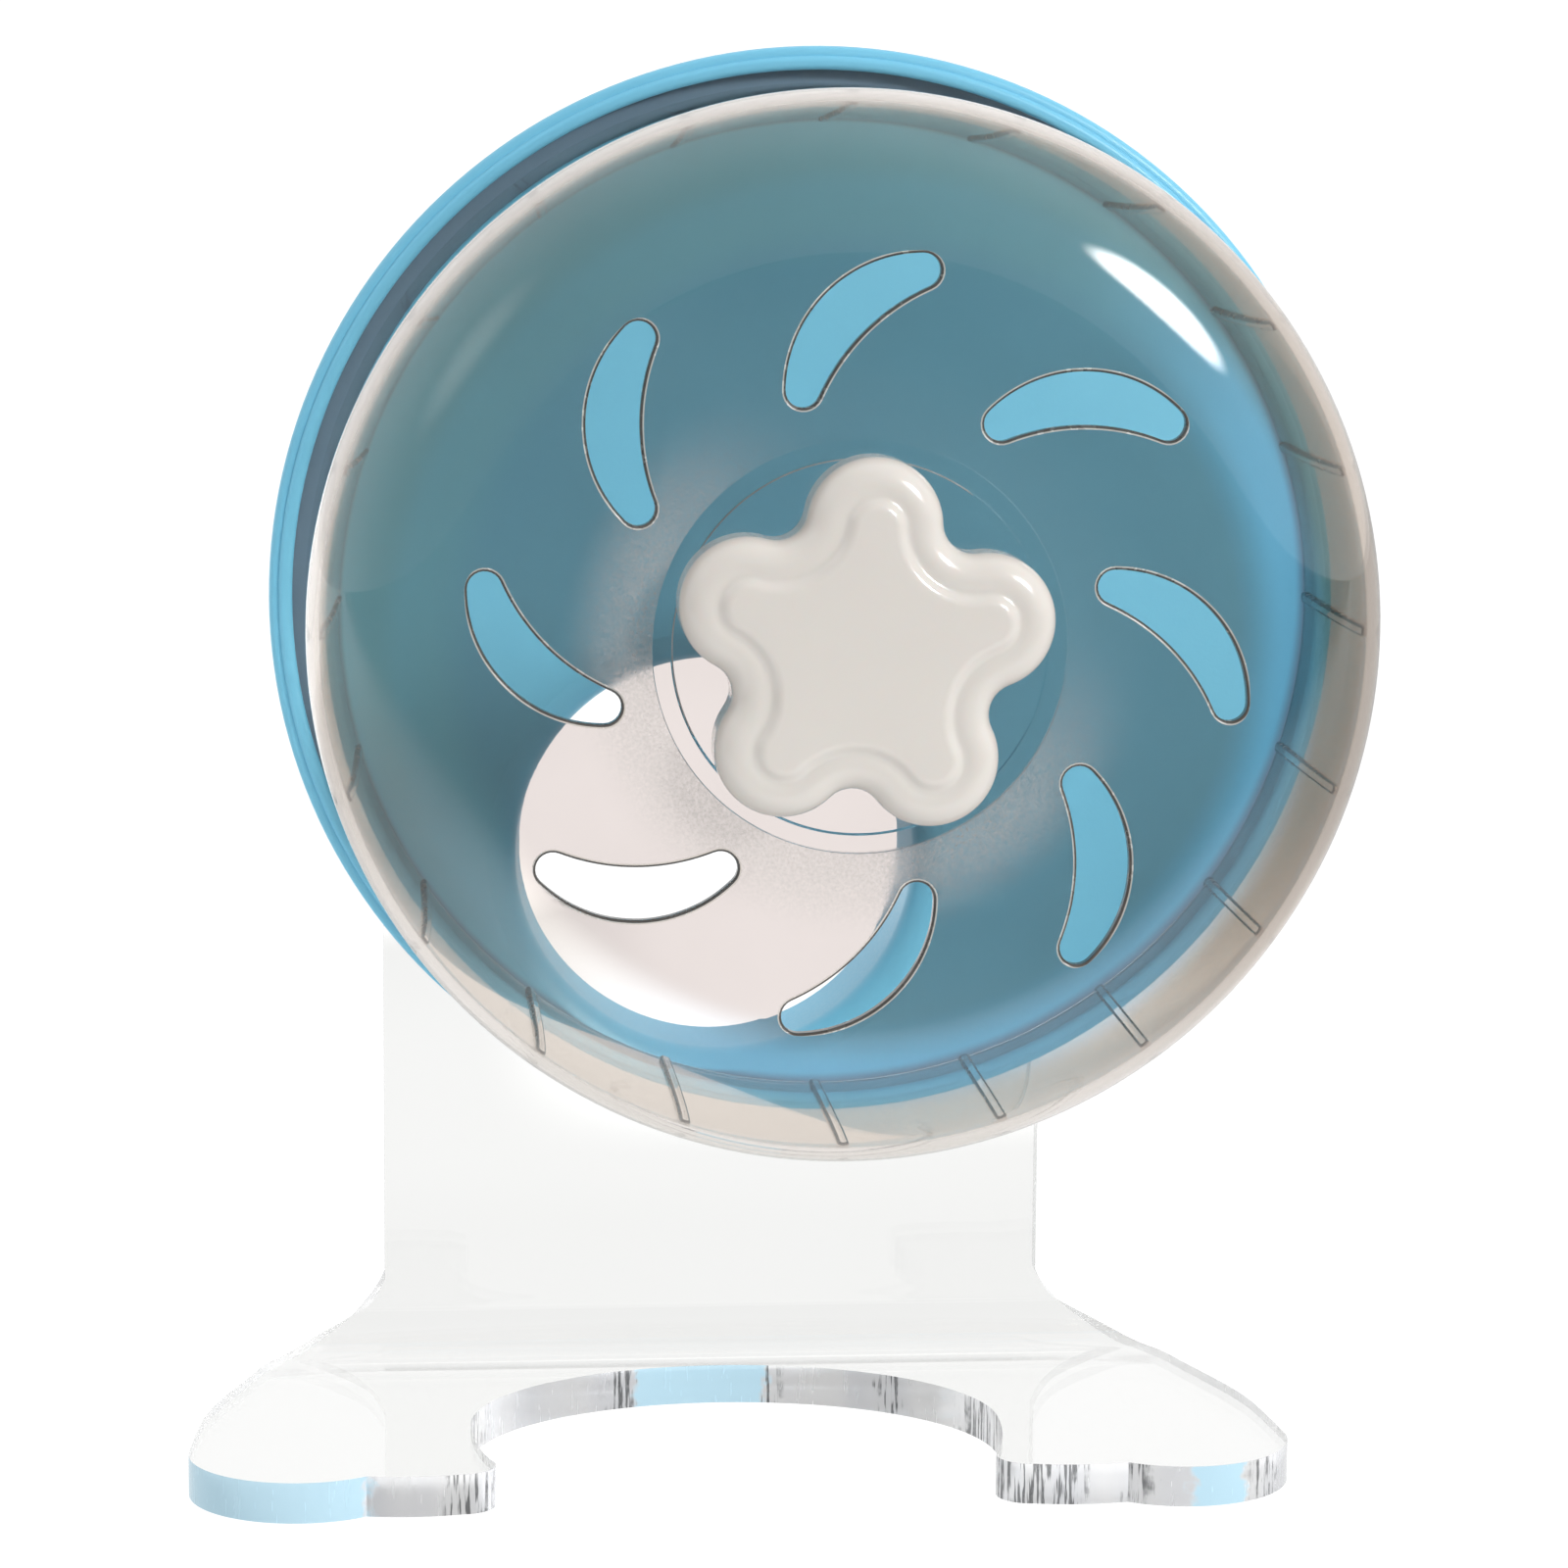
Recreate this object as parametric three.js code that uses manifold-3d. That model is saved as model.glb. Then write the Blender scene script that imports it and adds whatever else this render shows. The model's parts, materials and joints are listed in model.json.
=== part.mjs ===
// Exercise wheel for a small pet, hung by its entrance collar on a bent clear stand.
// Millimetres, +Z up. The viewer looks along +Y, with +X on the right.
// The origin is on the underside of the base, in the middle of its bridge.
// A place is given as d, its distance ahead of the upright's front face, towards the viewer.
import * as THREE from "three";
import { mergeVertices } from "three/addons/utils/BufferGeometryUtils.js";
import Module from "manifold-3d";

const wasm = await Module();
wasm.setup();

// Clearances
const seatGap = 0.3; // between pieces that rest on each other
const boreGap = 0.15; // round the axle, and round a bearing or a screw in its hole
const ballGap = 0.12; // round a ball in its grooves and its pocket
const collarGap = 0.4; // round the collar
const drumGap = 2.6; // round the drum inside the lip of the housing
const drumEndGap = 4; // between the drum's back edge and the back plate
const capGap = 1.1; // inside the flower cap, round the screw heads

// Clear stand: one sheet with one bend
const sheet = 8;
const bendRadius = 9;
const bridgeDepth = 9; // flat of the base between the bend and the cut-out
const uprightHalf = 69;
const flareRise = 6; // the upright widens from this far above the bend
const flareStart = 3.8; // by which it has widened at the bend
const bendHalf = 85; // half width in the middle of the bend
const kneeHalf = 93; // half width where the bend meets the base
const shoulderHalf = 97.6;
const shoulderRun = 13; // from the bend to the shoulder
const flankHalf = 105.5;
const flankRun = 40;
const footHalf = 108.6;
const footReach = 99.7; // from the upright's front face to the front of the feet
const outerToe = 22; // radius
const innerToe = 6.5;
const outerToeWidth = 34.5; // from the flank to the notch between two toes
const toeGapHalf = 49; // from the middle to the inner toe
const innerToeReach = 95.6;
const innerToeTurn = THREE.MathUtils.degToRad(120); // round the inner toe
const scallopRise = 2.2;
const cutoutHalf = 53;
const cutoutDepth = 43.5;

// Entrance collar
const collarHeight = 113.2; // of its axis above the floor
const throatRadius = 40.2;
const throatTaper = 1.3;
const mouthFlare = 7.1;
const mouthDepth = 6;
const collarRadius = 44;
const collarEnd = 1.5; // past the clamp ring
const gasketThickness = 1.4;
const gasketWidth = 4.6;
const ringThickness = 7;
const ringWidth = 7.6;
const ringGrips = 16;
const gripDepth = 1.4;

// Housing
const collarReach = 58.6; // from the collar's axis to the axle
const collarTilt = THREE.MathUtils.degToRad(20.1);
const plateWall = 3;
const housingDepth = 8;
const lipWall = 2.8;
const lipLand = 1.5;
const bellyRise = 2;
const housingCorner = 5;
const bossRadius = 9.2;
const bossDraft = 1;
const bossLength = 20;

// Drum
const drumRadius = 105;
const drumWall = 2.5;
const drumDepth = 85.4;
const drumRound = 26;
const slotCount = 8;
const slotMiddle = 60; // from the axle to the middle of a slot's chord
const slotChord = 32; // between the centres of its round ends
const slotEnd = 3.3;
const slotBulge = 6.6;
const slotHollow = 3;
const slotSlant = THREE.MathUtils.degToRad(45);
const rungCount = 20;
const rungLength = 62;
const rungSetback = 1.5; // from the drum's back edge
const rungWidth = 2.2;
const rungRise = 0.8;

// Axle and bearings
const axleRadius = 4;
const hexRadius = 7.5;
const boltHead = 5.3;
const jamNutHeight = 5;
const lockNutHeight = 7;
const washerThickness = 1.6;
const washerRadius = 8;
const spacerWall = 1.9;
const rearSpacerLength = 10.2;
const threadEnd = 1.5;
const ballRadius = 1.985;
const ballCount = 7;
const raceWall = 1.32;
const shoulderShare = 0.8; // of the ball's radius, left open between the races' shoulders
const cageRail = 0.35;
const cageWall = 1.2;
const shieldThickness = 0.5;
const shieldInset = 0.25;
const shieldStep = 0.7;

// Hub carrier, its screws and the flower cap
const barrelWall = 2.85;
const barrelTail = 1;
const bearingSetback = 2.2; // front bearing behind the drum's face
const neckWall = 3.5;
const neckRise = 4;
const flangeThickness = 4;
const screwCount = 4;
const screwRadius = 1.5;
const screwHeadRadius = 2.8;
const screwCrownRadius = 2;
const screwHeadHeight = 2;
const screwEdge = 4.4;
const capWall = 2.2;
const capHeadroom = 5;
const capRound = 6;
const capPlugWall = 1.8;
const capPlugDepth = 4;
const petalCount = 5;
const petalRadius = 13;
const petalRise = 10.9; // of a petal's tip past the valley beside it
const petalTurn = THREE.MathUtils.degToRad(-4);
const leastValley = 1; // radius
const panelBorder = 9;
const panelRise = 1.3;

// Facets round the large and the small pieces
const wideFacets = 48;
const collarFacets = 40;
const hubFacets = 24;
const raceFacets = 24;
const axleFacets = 16;
const screwFacets = 10;
const pocketFacets = 12;
const arcSteps = 3; // of each curve in a turned outline
const toeSteps = 8;
const slotSteps = 4;
const grooveSteps = 2;
const gripSteps = 6; // of each grip
const flareSteps = 24;
const cutMargin = 5; // by which a cutting solid passes what it cuts
const weldDistance = 1e-4;

// Places that follow
const uprightFront = bendRadius + bridgeDepth / 2; // y of the upright's front face
const notchHalf = footHalf - outerToeWidth;
const axleX = collarReach * Math.sin(collarTilt);
const axleZ = collarHeight + collarReach * Math.cos(collarTilt);
const gasketFront = seatGap + gasketThickness;
const plateBack = gasketFront + seatGap;
const plateFront = plateBack + plateWall;
const lipFront = plateBack + housingDepth;
const lipInner = drumRadius + drumGap;
const bellyRadius = lipInner + lipWall + bellyRise;
const bossFront = plateFront + bossLength;
const drumBack = plateFront + drumEndGap;
const faceFront = drumBack + drumDepth;
const faceBack = faceFront - drumWall;
const ringFront = -sheet - seatGap;
const ringBack = ringFront - ringThickness;
const collarBack = ringBack - collarEnd;

const raceBore = axleRadius + boreGap;
const grooveRadius = ballRadius + ballGap;
const pitchRadius = raceBore + raceWall + grooveRadius;
const bearingRadius = pitchRadius + grooveRadius + raceWall;
const cageHalf = grooveRadius + cageRail;
const shieldSeat = cageHalf + seatGap; // from a bearing's middle to its shield
const bearingWidth = 2 * (shieldSeat + shieldThickness + shieldInset);
const raceShoulder = shoulderShare * ballRadius; // from the pitch circle to a race's shoulder

const bossWasherBack = bossFront + seatGap;
const jamNutBack = bossWasherBack + washerThickness + seatGap;
const rearSpacerBack = jamNutBack + jamNutHeight + seatGap;
const rearBearing = rearSpacerBack + rearSpacerLength + seatGap;
const rearBearingEnd = rearBearing + bearingWidth;
const frontBearingEnd = faceBack - bearingSetback;
const frontBearing = frontBearingEnd - bearingWidth;
const axleWasherBack = frontBearingEnd + seatGap;
const lockNutBack = axleWasherBack + washerThickness + seatGap;
const boltTip = lockNutBack + lockNutHeight + threadEnd;

const seatRadius = bearingRadius + boreGap;
const neckRadius = seatRadius + neckWall;
const neckFront = faceFront + neckRise;
const faceBore = neckRadius + seatGap;
const screwCircle = faceBore + screwHeadRadius + 2 * capGap;
const flangeRadius = screwCircle + screwEdge;
const flangeFront = faceBack - seatGap;
const flangeBack = flangeFront - flangeThickness;
const capBack = faceFront + seatGap;
const capRoof = boltTip + capHeadroom;
const capFront = capRoof + capWall;
const valleyRadius = screwCircle + screwHeadRadius + capGap + capWall;
const petalTip = valleyRadius + petalRise;

// A closed geometry as a manifold solid, and back
function toSolid(geometry) {
  const bare = new THREE.BufferGeometry();
  bare.setAttribute("position", geometry.getAttribute("position"));
  bare.setIndex(geometry.index);
  const merged = mergeVertices(bare, weldDistance);
  const triangles = [];
  for (let i = 0; i < merged.index.count; i += 3) {
    const [a, b, c] = [0, 1, 2].map((k) => merged.index.getX(i + k));
    if (a !== b && b !== c && c !== a) triangles.push(a, b, c);
  }
  return new wasm.Manifold(
    new wasm.Mesh({
      numProp: 3,
      vertProperties: merged.getAttribute("position").array,
      triVerts: new Uint32Array(triangles),
    }),
  );
}

function toGeometry(solid) {
  const mesh = solid.getMesh();
  const geometry = new THREE.BufferGeometry();
  geometry.setAttribute("position", new THREE.BufferAttribute(mesh.vertProperties, 3));
  geometry.setIndex(new THREE.BufferAttribute(mesh.triVerts, 1));
  geometry.computeVertexNormals();
  return geometry;
}

// A closed outline of points (radius, d) turned about the Y axis
function turned(outline, facets) {
  const points = outline.map((p) => new THREE.Vector2(p.x, -p.y));
  const first = points[0];
  if (!first.equals(points.at(-1))) points.push(first.clone());
  if (THREE.ShapeUtils.isClockWise(points)) points.reverse();
  return new THREE.LatheGeometry(points, facets);
}

function corners(...pairs) {
  return pairs.map(([radius, d]) => new THREE.Vector2(radius, d));
}

// A ring or a disc between two radii, from d = back to d = front
function ring(inner, outer, back, front, facets) {
  return turned(corners([inner, back], [outer, back], [outer, front], [inner, front]), facets);
}

// A shape drawn as the viewer sees it, from d = back to d = front
function facing(shape, back, front, curveSegments, bevel) {
  const options = { depth: front - back, curveSegments, bevelEnabled: false, ...bevel };
  return new THREE.ExtrudeGeometry(shape, options).rotateX(Math.PI / 2).translate(0, -back, 0);
}

// A round bar on the Y axis, and a hexagonal one
function rod(radius, back, front, facets) {
  const length = front - back;
  return new THREE.CylinderGeometry(radius, radius, length, facets).translate(0, -back - length / 2, 0);
}

function hexagon(radius, back, front) {
  return rod(radius, back, front, 6);
}

// What stands evenly round an axis
function around(count, place) {
  return Array.from({ length: count }, (_, i) => place((i * 2 * Math.PI) / count, i));
}

function cutAll(solid, geometries) {
  return geometries.reduce((left, geometry) => left.subtract(toSolid(geometry)), solid);
}

// The stand's half width along the unrolled sheet, measured from the top of the bend
const bendTop = sheet + bendRadius;
const bendLength = (Math.PI / 2) * (bendRadius + sheet / 2);
const flare = new THREE.SplineCurve([
  new THREE.Vector2(-flareRise, uprightHalf),
  new THREE.Vector2(0, uprightHalf + flareStart),
  new THREE.Vector2(bendLength / 2, bendHalf),
  new THREE.Vector2(bendLength, kneeHalf),
  new THREE.Vector2(bendLength + shoulderRun, shoulderHalf),
  new THREE.Vector2(bendLength + flankRun, flankHalf),
  new THREE.Vector2(bendLength + footReach - bendRadius - outerToe, footHalf),
]);

// The point of the sheet's mid-plane at a length along it, on its inner or its outer face
function onSheet(length, depth) {
  const centreY = uprightFront - bendRadius;
  if (length <= 0) return [uprightFront + depth, bendTop - length];
  if (length >= bendLength) return [centreY - (length - bendLength), sheet - depth];
  const turn = ((Math.PI / 2) * length) / bendLength;
  const radius = bendRadius + depth;
  return [centreY + radius * Math.cos(turn), bendTop - radius * Math.sin(turn)];
}

function bentSheet() {
  const top = new THREE.Vector2(bendTop - collarHeight - uprightHalf, uprightHalf);
  const front = new THREE.Vector2(bendLength + footReach - bendRadius + cutMargin, footHalf);
  const stations = [top, ...flare.getPoints(flareSteps), front];
  const positions = [];
  for (const { x: length, y: half } of stations) {
    const inner = onSheet(length, 0);
    const outer = onSheet(length, sheet);
    positions.push(-half, ...inner, half, ...inner, half, ...outer, -half, ...outer);
  }
  const index = [0, 1, 2, 0, 2, 3];
  for (let s = 0; s < stations.length - 1; s++) {
    for (let side = 0; side < 4; side++) {
      const [a, b] = [4 * s + side, 4 * s + ((side + 1) % 4)];
      index.push(a, b + 4, b, a, a + 4, b + 4);
    }
  }
  const last = 4 * (stations.length - 1);
  index.push(last, last + 2, last + 1, last, last + 3, last + 2);
  const geometry = new THREE.BufferGeometry();
  geometry.setAttribute("position", new THREE.Float32BufferAttribute(positions, 3));
  geometry.setIndex(index);
  return geometry;
}

// What is cut from the front of the base: outside the toes, and the cut-out between the feet
function frontCut() {
  const toeX = footHalf - outerToe;
  const toeReach = footReach - outerToe;
  const notchTurn = Math.acos((notchHalf - toeX) / outerToe);
  const innerToeX = toeGapHalf + innerToe;
  const wide = footHalf + cutMargin;
  const far = footReach + 2 * cutMargin;
  const half = new THREE.Path();
  half.moveTo(wide, far);
  half.lineTo(wide, toeReach);
  half.absarc(toeX, toeReach, outerToe, 0, notchTurn, false);
  const scallopX = (notchHalf + innerToeX) / 2;
  half.quadraticCurveTo(scallopX, innerToeReach + scallopRise, innerToeX, innerToeReach);
  half.absarc(innerToeX, innerToeReach - innerToe, innerToe, Math.PI / 2, Math.PI / 2 + innerToeTurn, false);
  const middle = bendRadius + bridgeDepth + cutoutDepth;
  half.quadraticCurveTo(cutoutHalf, (middle + innerToeReach - innerToe) / 2, cutoutHalf, middle);
  half.absellipse(0, middle, cutoutHalf, cutoutDepth, 0, -Math.PI / 2, true);
  const right = half.getPoints(toeSteps).map((p) => new THREE.Vector2(p.x, uprightFront - p.y));
  const left = right.slice(0, -1).reverse();
  const shape = new THREE.Shape([...right, ...left.map((p) => new THREE.Vector2(-p.x, p.y))]);
  const depth = sheet + 2 * cutMargin;
  return new THREE.ExtrudeGeometry(shape, { depth, bevelEnabled: false }).translate(0, 0, -cutMargin);
}

// What is cut from the top of the upright, to round it about the collar
function topCut() {
  const wide = uprightHalf + cutMargin;
  const shape = new THREE.Shape();
  shape.moveTo(wide, 0);
  shape.lineTo(wide, wide);
  shape.lineTo(-wide, wide);
  shape.lineTo(-wide, 0);
  shape.absarc(0, 0, uprightHalf, Math.PI, 0, true);
  const cut = facing(shape, -sheet - cutMargin, cutMargin, collarFacets / 4);
  return cut.translate(0, uprightFront, collarHeight);
}

function standGeometry() {
  const hole = rod(collarRadius + collarGap, -sheet - cutMargin, cutMargin, collarFacets);
  hole.translate(0, uprightFront, collarHeight);
  return toGeometry(cutAll(toSolid(bentSheet()), [frontCut(), topCut(), hole]));
}

// The housing is a round dish with a rolled lip, an axle boss and the entrance collar
function dishOutline() {
  const outline = new THREE.Path();
  const cornerX = bellyRadius - housingCorner;
  const cornerD = plateBack + housingCorner;
  const lipOuter = lipInner + lipWall;
  outline.moveTo(0, plateBack);
  outline.lineTo(cornerX, plateBack);
  outline.absarc(cornerX, cornerD, housingCorner, -Math.PI / 2, 0, false);
  outline.quadraticCurveTo(bellyRadius, (cornerD + 2 * lipFront) / 3, lipOuter, lipFront);
  outline.lineTo(lipInner, lipFront);
  outline.lineTo(lipInner, lipFront - lipLand);
  const bellyInner = bellyRadius - plateWall;
  outline.quadraticCurveTo(bellyInner, (cornerD + lipFront) / 2, bellyInner, cornerD);
  outline.absarc(cornerX, cornerD, housingCorner - plateWall, 0, -Math.PI / 2, true);
  outline.lineTo(bossRadius, plateFront);
  outline.lineTo(bossRadius - bossDraft, bossFront);
  outline.lineTo(0, bossFront);
  return outline.getPoints(arcSteps);
}

// The way in: a throat that opens towards the drum in a rounded mouth
function throatOutline() {
  const outline = new THREE.Path();
  const wide = throatRadius + throatTaper;
  const mouth = plateFront - mouthDepth;
  outline.moveTo(0, collarBack - cutMargin);
  outline.lineTo(throatRadius, collarBack - cutMargin);
  outline.lineTo(throatRadius, collarBack);
  outline.lineTo(wide, mouth);
  outline.absellipse(wide + mouthFlare, mouth, mouthFlare, mouthDepth, Math.PI, Math.PI / 2, true);
  outline.lineTo(wide + mouthFlare, plateFront + housingCorner);
  outline.lineTo(0, plateFront + housingCorner);
  return outline.getPoints(arcSteps);
}

function housingGeometry() {
  const toCollar = (geometry) => geometry.translate(-axleX, 0, collarHeight - axleZ);
  const dish = toSolid(turned(dishOutline(), wideFacets));
  const collar = toSolid(toCollar(rod(collarRadius, collarBack, plateFront, collarFacets)));
  const pocketFront = plateBack + boltHead + 2 * seatGap;
  return toGeometry(
    cutAll(dish.add(collar), [
      toCollar(turned(throatOutline(), collarFacets)),
      hexagon(hexRadius + seatGap, plateBack - cutMargin, pocketFront),
      rod(raceBore, plateBack, bossFront + cutMargin, axleFacets),
    ]),
  );
}

// The clamp ring screws on the collar behind the upright; shallow grips run round its rim
function clampRingGeometry() {
  const inner = collarRadius + collarGap;
  const outer = inner + ringWidth;
  const shape = new THREE.Shape();
  const rim = around(ringGrips * gripSteps, (turn) => {
    const radius = outer - (gripDepth / 2) * (1 - Math.cos(ringGrips * turn));
    return new THREE.Vector2(radius * Math.cos(turn), radius * Math.sin(turn));
  });
  shape.setFromPoints(rim);
  shape.holes.push(new THREE.Path().absarc(0, 0, inner, 0, 2 * Math.PI, true));
  return facing(shape, ringBack, ringFront, collarFacets / 2);
}

// The drum: a vented face, a wide rounded edge and a running wall with rungs inside
function drumOutline() {
  const outline = new THREE.Path();
  const roundX = drumRadius - drumRound;
  const roundD = faceFront - drumRound;
  outline.moveTo(drumRadius - drumWall, drumBack);
  outline.lineTo(drumRadius, drumBack);
  outline.absarc(roundX, roundD, drumRound, 0, Math.PI / 2, false);
  outline.lineTo(faceBore, faceFront);
  outline.lineTo(faceBore, faceBack);
  outline.absarc(roundX, roundD, drumRound - drumWall, Math.PI / 2, 0, true);
  return outline.getPoints(arcSteps);
}

// A crescent vent: its chord slants across the radius, its back bulges outwards
function slotShape(turn) {
  const halfChord = slotChord / 2;
  const arcThrough = (rise) => {
    const radius = (halfChord ** 2 + rise ** 2) / (2 * rise);
    return { radius, sweep: Math.asin(halfChord / radius), low: rise - radius };
  };
  const crescent = new THREE.Path();
  const back = arcThrough(slotBulge);
  const hollow = arcThrough(slotHollow);
  const up = Math.PI / 2;
  crescent.absarc(0, back.low + slotEnd, back.radius, up - back.sweep, up + back.sweep, false);
  crescent.absarc(-halfChord, 0, slotEnd, Math.PI - up / 2, Math.PI + up / 2, false);
  crescent.absarc(0, hollow.low - slotEnd, hollow.radius, up + hollow.sweep, up - hollow.sweep, true);
  crescent.absarc(halfChord, 0, slotEnd, -up / 2, up / 2, false);
  const axle = new THREE.Vector2();
  const middle = new THREE.Vector2(0, slotMiddle);
  const points = crescent.getPoints(slotSteps).map((p) => {
    return p.rotateAround(axle, slotSlant).add(middle).rotateAround(axle, turn);
  });
  return new THREE.Shape(points);
}

function drumGeometry() {
  let drum = toSolid(turned(drumOutline(), wideFacets));
  for (const turn of around(rungCount, (angle) => angle)) {
    const root = drumWall / 2; // of the rung inside the wall
    const rung = new THREE.BoxGeometry(rungWidth, rungLength, rungRise + root);
    const middle = drumBack + rungSetback + rungLength / 2;
    rung.translate(0, -middle, drumRadius - drumWall + (root - rungRise) / 2);
    drum = drum.add(toSolid(rung.rotateY(turn)));
  }
  const [under, over] = [faceBack - seatGap, faceFront + seatGap];
  const slots = around(slotCount, (turn) => facing(slotShape(turn), under, over, 1));
  const holes = around(screwCount, (turn) => screwHole(under, over, turn));
  return toGeometry(cutAll(drum, [...slots, ...holes]));
}

// Screws stand on a circle round the neck, between the upright and the level directions
function screwPlace(geometry, turn) {
  return geometry.translate(0, 0, screwCircle).rotateY(turn + Math.PI / screwCount);
}

function screwHole(back, front, turn) {
  return screwPlace(rod(screwRadius + boreGap, back, front, screwFacets), turn);
}

// A pan-head screw through the drum's face into the flange of the carrier
function screwGeometry(turn) {
  const seat = faceFront + seatGap;
  const crown = seat + screwHeadHeight;
  const outline = corners(
    [0, flangeBack],
    [screwRadius, flangeBack],
    [screwRadius, seat],
    [screwHeadRadius, seat],
    [screwHeadRadius, seat + screwHeadHeight / 2],
    [screwCrownRadius, crown],
    [0, crown],
  );
  return screwPlace(turned(outline, screwFacets), turn);
}

// The carrier holds both bearings, and its flange carries the drum's face
function carrierGeometry() {
  const shoulder = seatRadius - raceWall;
  const barrel = seatRadius + barrelWall;
  const outline = corners(
    [seatRadius, rearBearing - barrelTail],
    [barrel, rearBearing - barrelTail],
    [barrel, flangeBack],
    [flangeRadius, flangeBack],
    [flangeRadius, flangeFront],
    [neckRadius, flangeFront],
    [neckRadius, neckFront],
    [seatRadius, neckFront],
    [seatRadius, frontBearing - seatGap],
    [shoulder, frontBearing - seatGap],
    [shoulder, rearBearingEnd + seatGap],
    [seatRadius, rearBearingEnd + seatGap],
  );
  const body = toSolid(turned(outline, hubFacets));
  const [under, over] = [flangeBack - seatGap, flangeFront + seatGap];
  return toGeometry(cutAll(body, around(screwCount, (turn) => screwHole(under, over, turn))));
}

// The flower's outline: round petals joined by round valleys, drawn inwards by a margin
function flowerShape(inset) {
  const centre = petalTip - petalRadius;
  const step = Math.PI / petalCount;
  const along = centre * Math.cos(step);
  const aside = centre * Math.sin(step);
  const depth = valleyRadius - along;
  const wanted = (depth ** 2 + aside ** 2 - petalRadius ** 2) / (2 * (petalRadius - depth));
  const valley = Math.max(leastValley, wanted);
  const valleyCentre = along + Math.sqrt((petalRadius + valley) ** 2 - aside ** 2);
  const swing = Math.atan2(valleyCentre * Math.sin(step), valleyCentre * Math.cos(step) - centre);
  const shape = new THREE.Shape();
  for (const turn of around(petalCount, (angle) => angle + petalTurn + Math.PI / 2)) {
    const petal = new THREE.Vector2(centre, 0).rotateAround(new THREE.Vector2(), turn);
    shape.absarc(petal.x, petal.y, petalRadius - inset, turn - swing, turn + swing, false);
    const dip = new THREE.Vector2(valleyCentre, 0).rotateAround(new THREE.Vector2(), turn + step);
    const from = turn + swing + Math.PI;
    const to = turn + 2 * step - swing - Math.PI;
    shape.absarc(dip.x, dip.y, valley + inset, from, to, true);
  }
  return shape;
}

// A hollow cap that plugs into the carrier's neck and covers the nut and the screws
function flowerGeometry() {
  const rounded = {
    bevelEnabled: true,
    bevelThickness: capRound,
    bevelSize: capRound,
    bevelOffset: -capRound,
    bevelSegments: arcSteps,
  };
  const softened = { ...rounded, bevelThickness: panelRise, bevelSize: panelRise, bevelOffset: -panelRise };
  const borderFront = capFront - panelRise;
  const border = facing(flowerShape(0), capBack - capRound, borderFront - capRound, arcSteps, rounded);
  const panel = facing(flowerShape(panelBorder), capRoof, borderFront, arcSteps, softened);
  const behind = rod(2 * petalTip, capBack - 4 * capRound, capBack, hubFacets);
  const outside = toSolid(border).add(toSolid(panel)).subtract(toSolid(behind));
  const plugRadius = seatRadius - seatGap;
  const hollow = facing(flowerShape(capWall), capBack - cutMargin, capRoof - panelRise, arcSteps);
  const plug = ring(plugRadius - capPlugWall, plugRadius, neckFront - capPlugDepth, capRoof, hubFacets);
  return toGeometry(outside.subtract(toSolid(hollow)).add(toSolid(plug)));
}

// A washer, a nut or a sleeve on the axle
function nutGeometry(height, back) {
  const hole = rod(raceBore, back - cutMargin, back + height + cutMargin, axleFacets);
  return toGeometry(cutAll(toSolid(hexagon(hexRadius, back, back + height)), [hole]));
}

function boltGeometry() {
  const headBack = plateBack + seatGap;
  const head = toSolid(hexagon(hexRadius, headBack, headBack + boltHead));
  return toGeometry(head.add(toSolid(rod(axleRadius, headBack + boltHead / 2, boltTip, axleFacets))));
}

// The pieces of one deep-groove bearing whose back face is at d = back
function innerRaceGeometry(back) {
  const middle = back + bearingWidth / 2;
  const shoulder = pitchRadius - raceShoulder;
  const half = Math.acos(raceShoulder / grooveRadius);
  const outline = new THREE.Path();
  outline.moveTo(raceBore, back);
  outline.lineTo(shoulder, back);
  outline.absarc(pitchRadius, middle, grooveRadius, Math.PI + half, Math.PI - half, true);
  outline.lineTo(shoulder, back + bearingWidth);
  outline.lineTo(raceBore, back + bearingWidth);
  return turned(outline.getPoints(grooveSteps), raceFacets);
}

function outerRaceGeometry(back) {
  const middle = back + bearingWidth / 2;
  const shoulder = pitchRadius + raceShoulder;
  const half = Math.acos(raceShoulder / grooveRadius);
  const rebate = shoulder + shieldStep;
  const outline = new THREE.Path();
  outline.moveTo(bearingRadius, back);
  outline.lineTo(bearingRadius, back + bearingWidth);
  outline.lineTo(rebate, back + bearingWidth);
  outline.lineTo(rebate, middle + cageHalf);
  outline.lineTo(shoulder, middle + cageHalf);
  outline.absarc(pitchRadius, middle, grooveRadius, half, -half, true);
  outline.lineTo(shoulder, middle - cageHalf);
  outline.lineTo(rebate, middle - cageHalf);
  outline.lineTo(rebate, back);
  return turned(outline.getPoints(grooveSteps), raceFacets);
}

function cageGeometry(back) {
  const middle = back + bearingWidth / 2;
  const [inner, outer] = [pitchRadius - cageWall / 2, pitchRadius + cageWall / 2];
  const band = ring(inner, outer, middle - cageHalf, middle + cageHalf, 2 * ballCount);
  const pockets = around(ballCount, (turn) => {
    const pocket = rod(grooveRadius, -2 * cageWall, 2 * cageWall, pocketFacets).rotateX(Math.PI / 2);
    return pocket.translate(0, -middle, pitchRadius).rotateY(turn);
  });
  return toGeometry(cutAll(toSolid(band), pockets));
}

function shieldGeometry(back, side) {
  const inner = pitchRadius - raceShoulder + seatGap;
  const outer = pitchRadius + raceShoulder + shieldStep - seatGap;
  const middle = back + bearingWidth / 2;
  const near = side > 0 ? middle + shieldSeat : middle - shieldSeat - shieldThickness;
  return ring(inner, outer, near, near + shieldThickness, raceFacets);
}

function ballGeometry(back, turn) {
  const ball = new THREE.IcosahedronGeometry(ballRadius, 1);
  return ball.translate(0, -back - bearingWidth / 2, pitchRadius).rotateY(turn);
}

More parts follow.
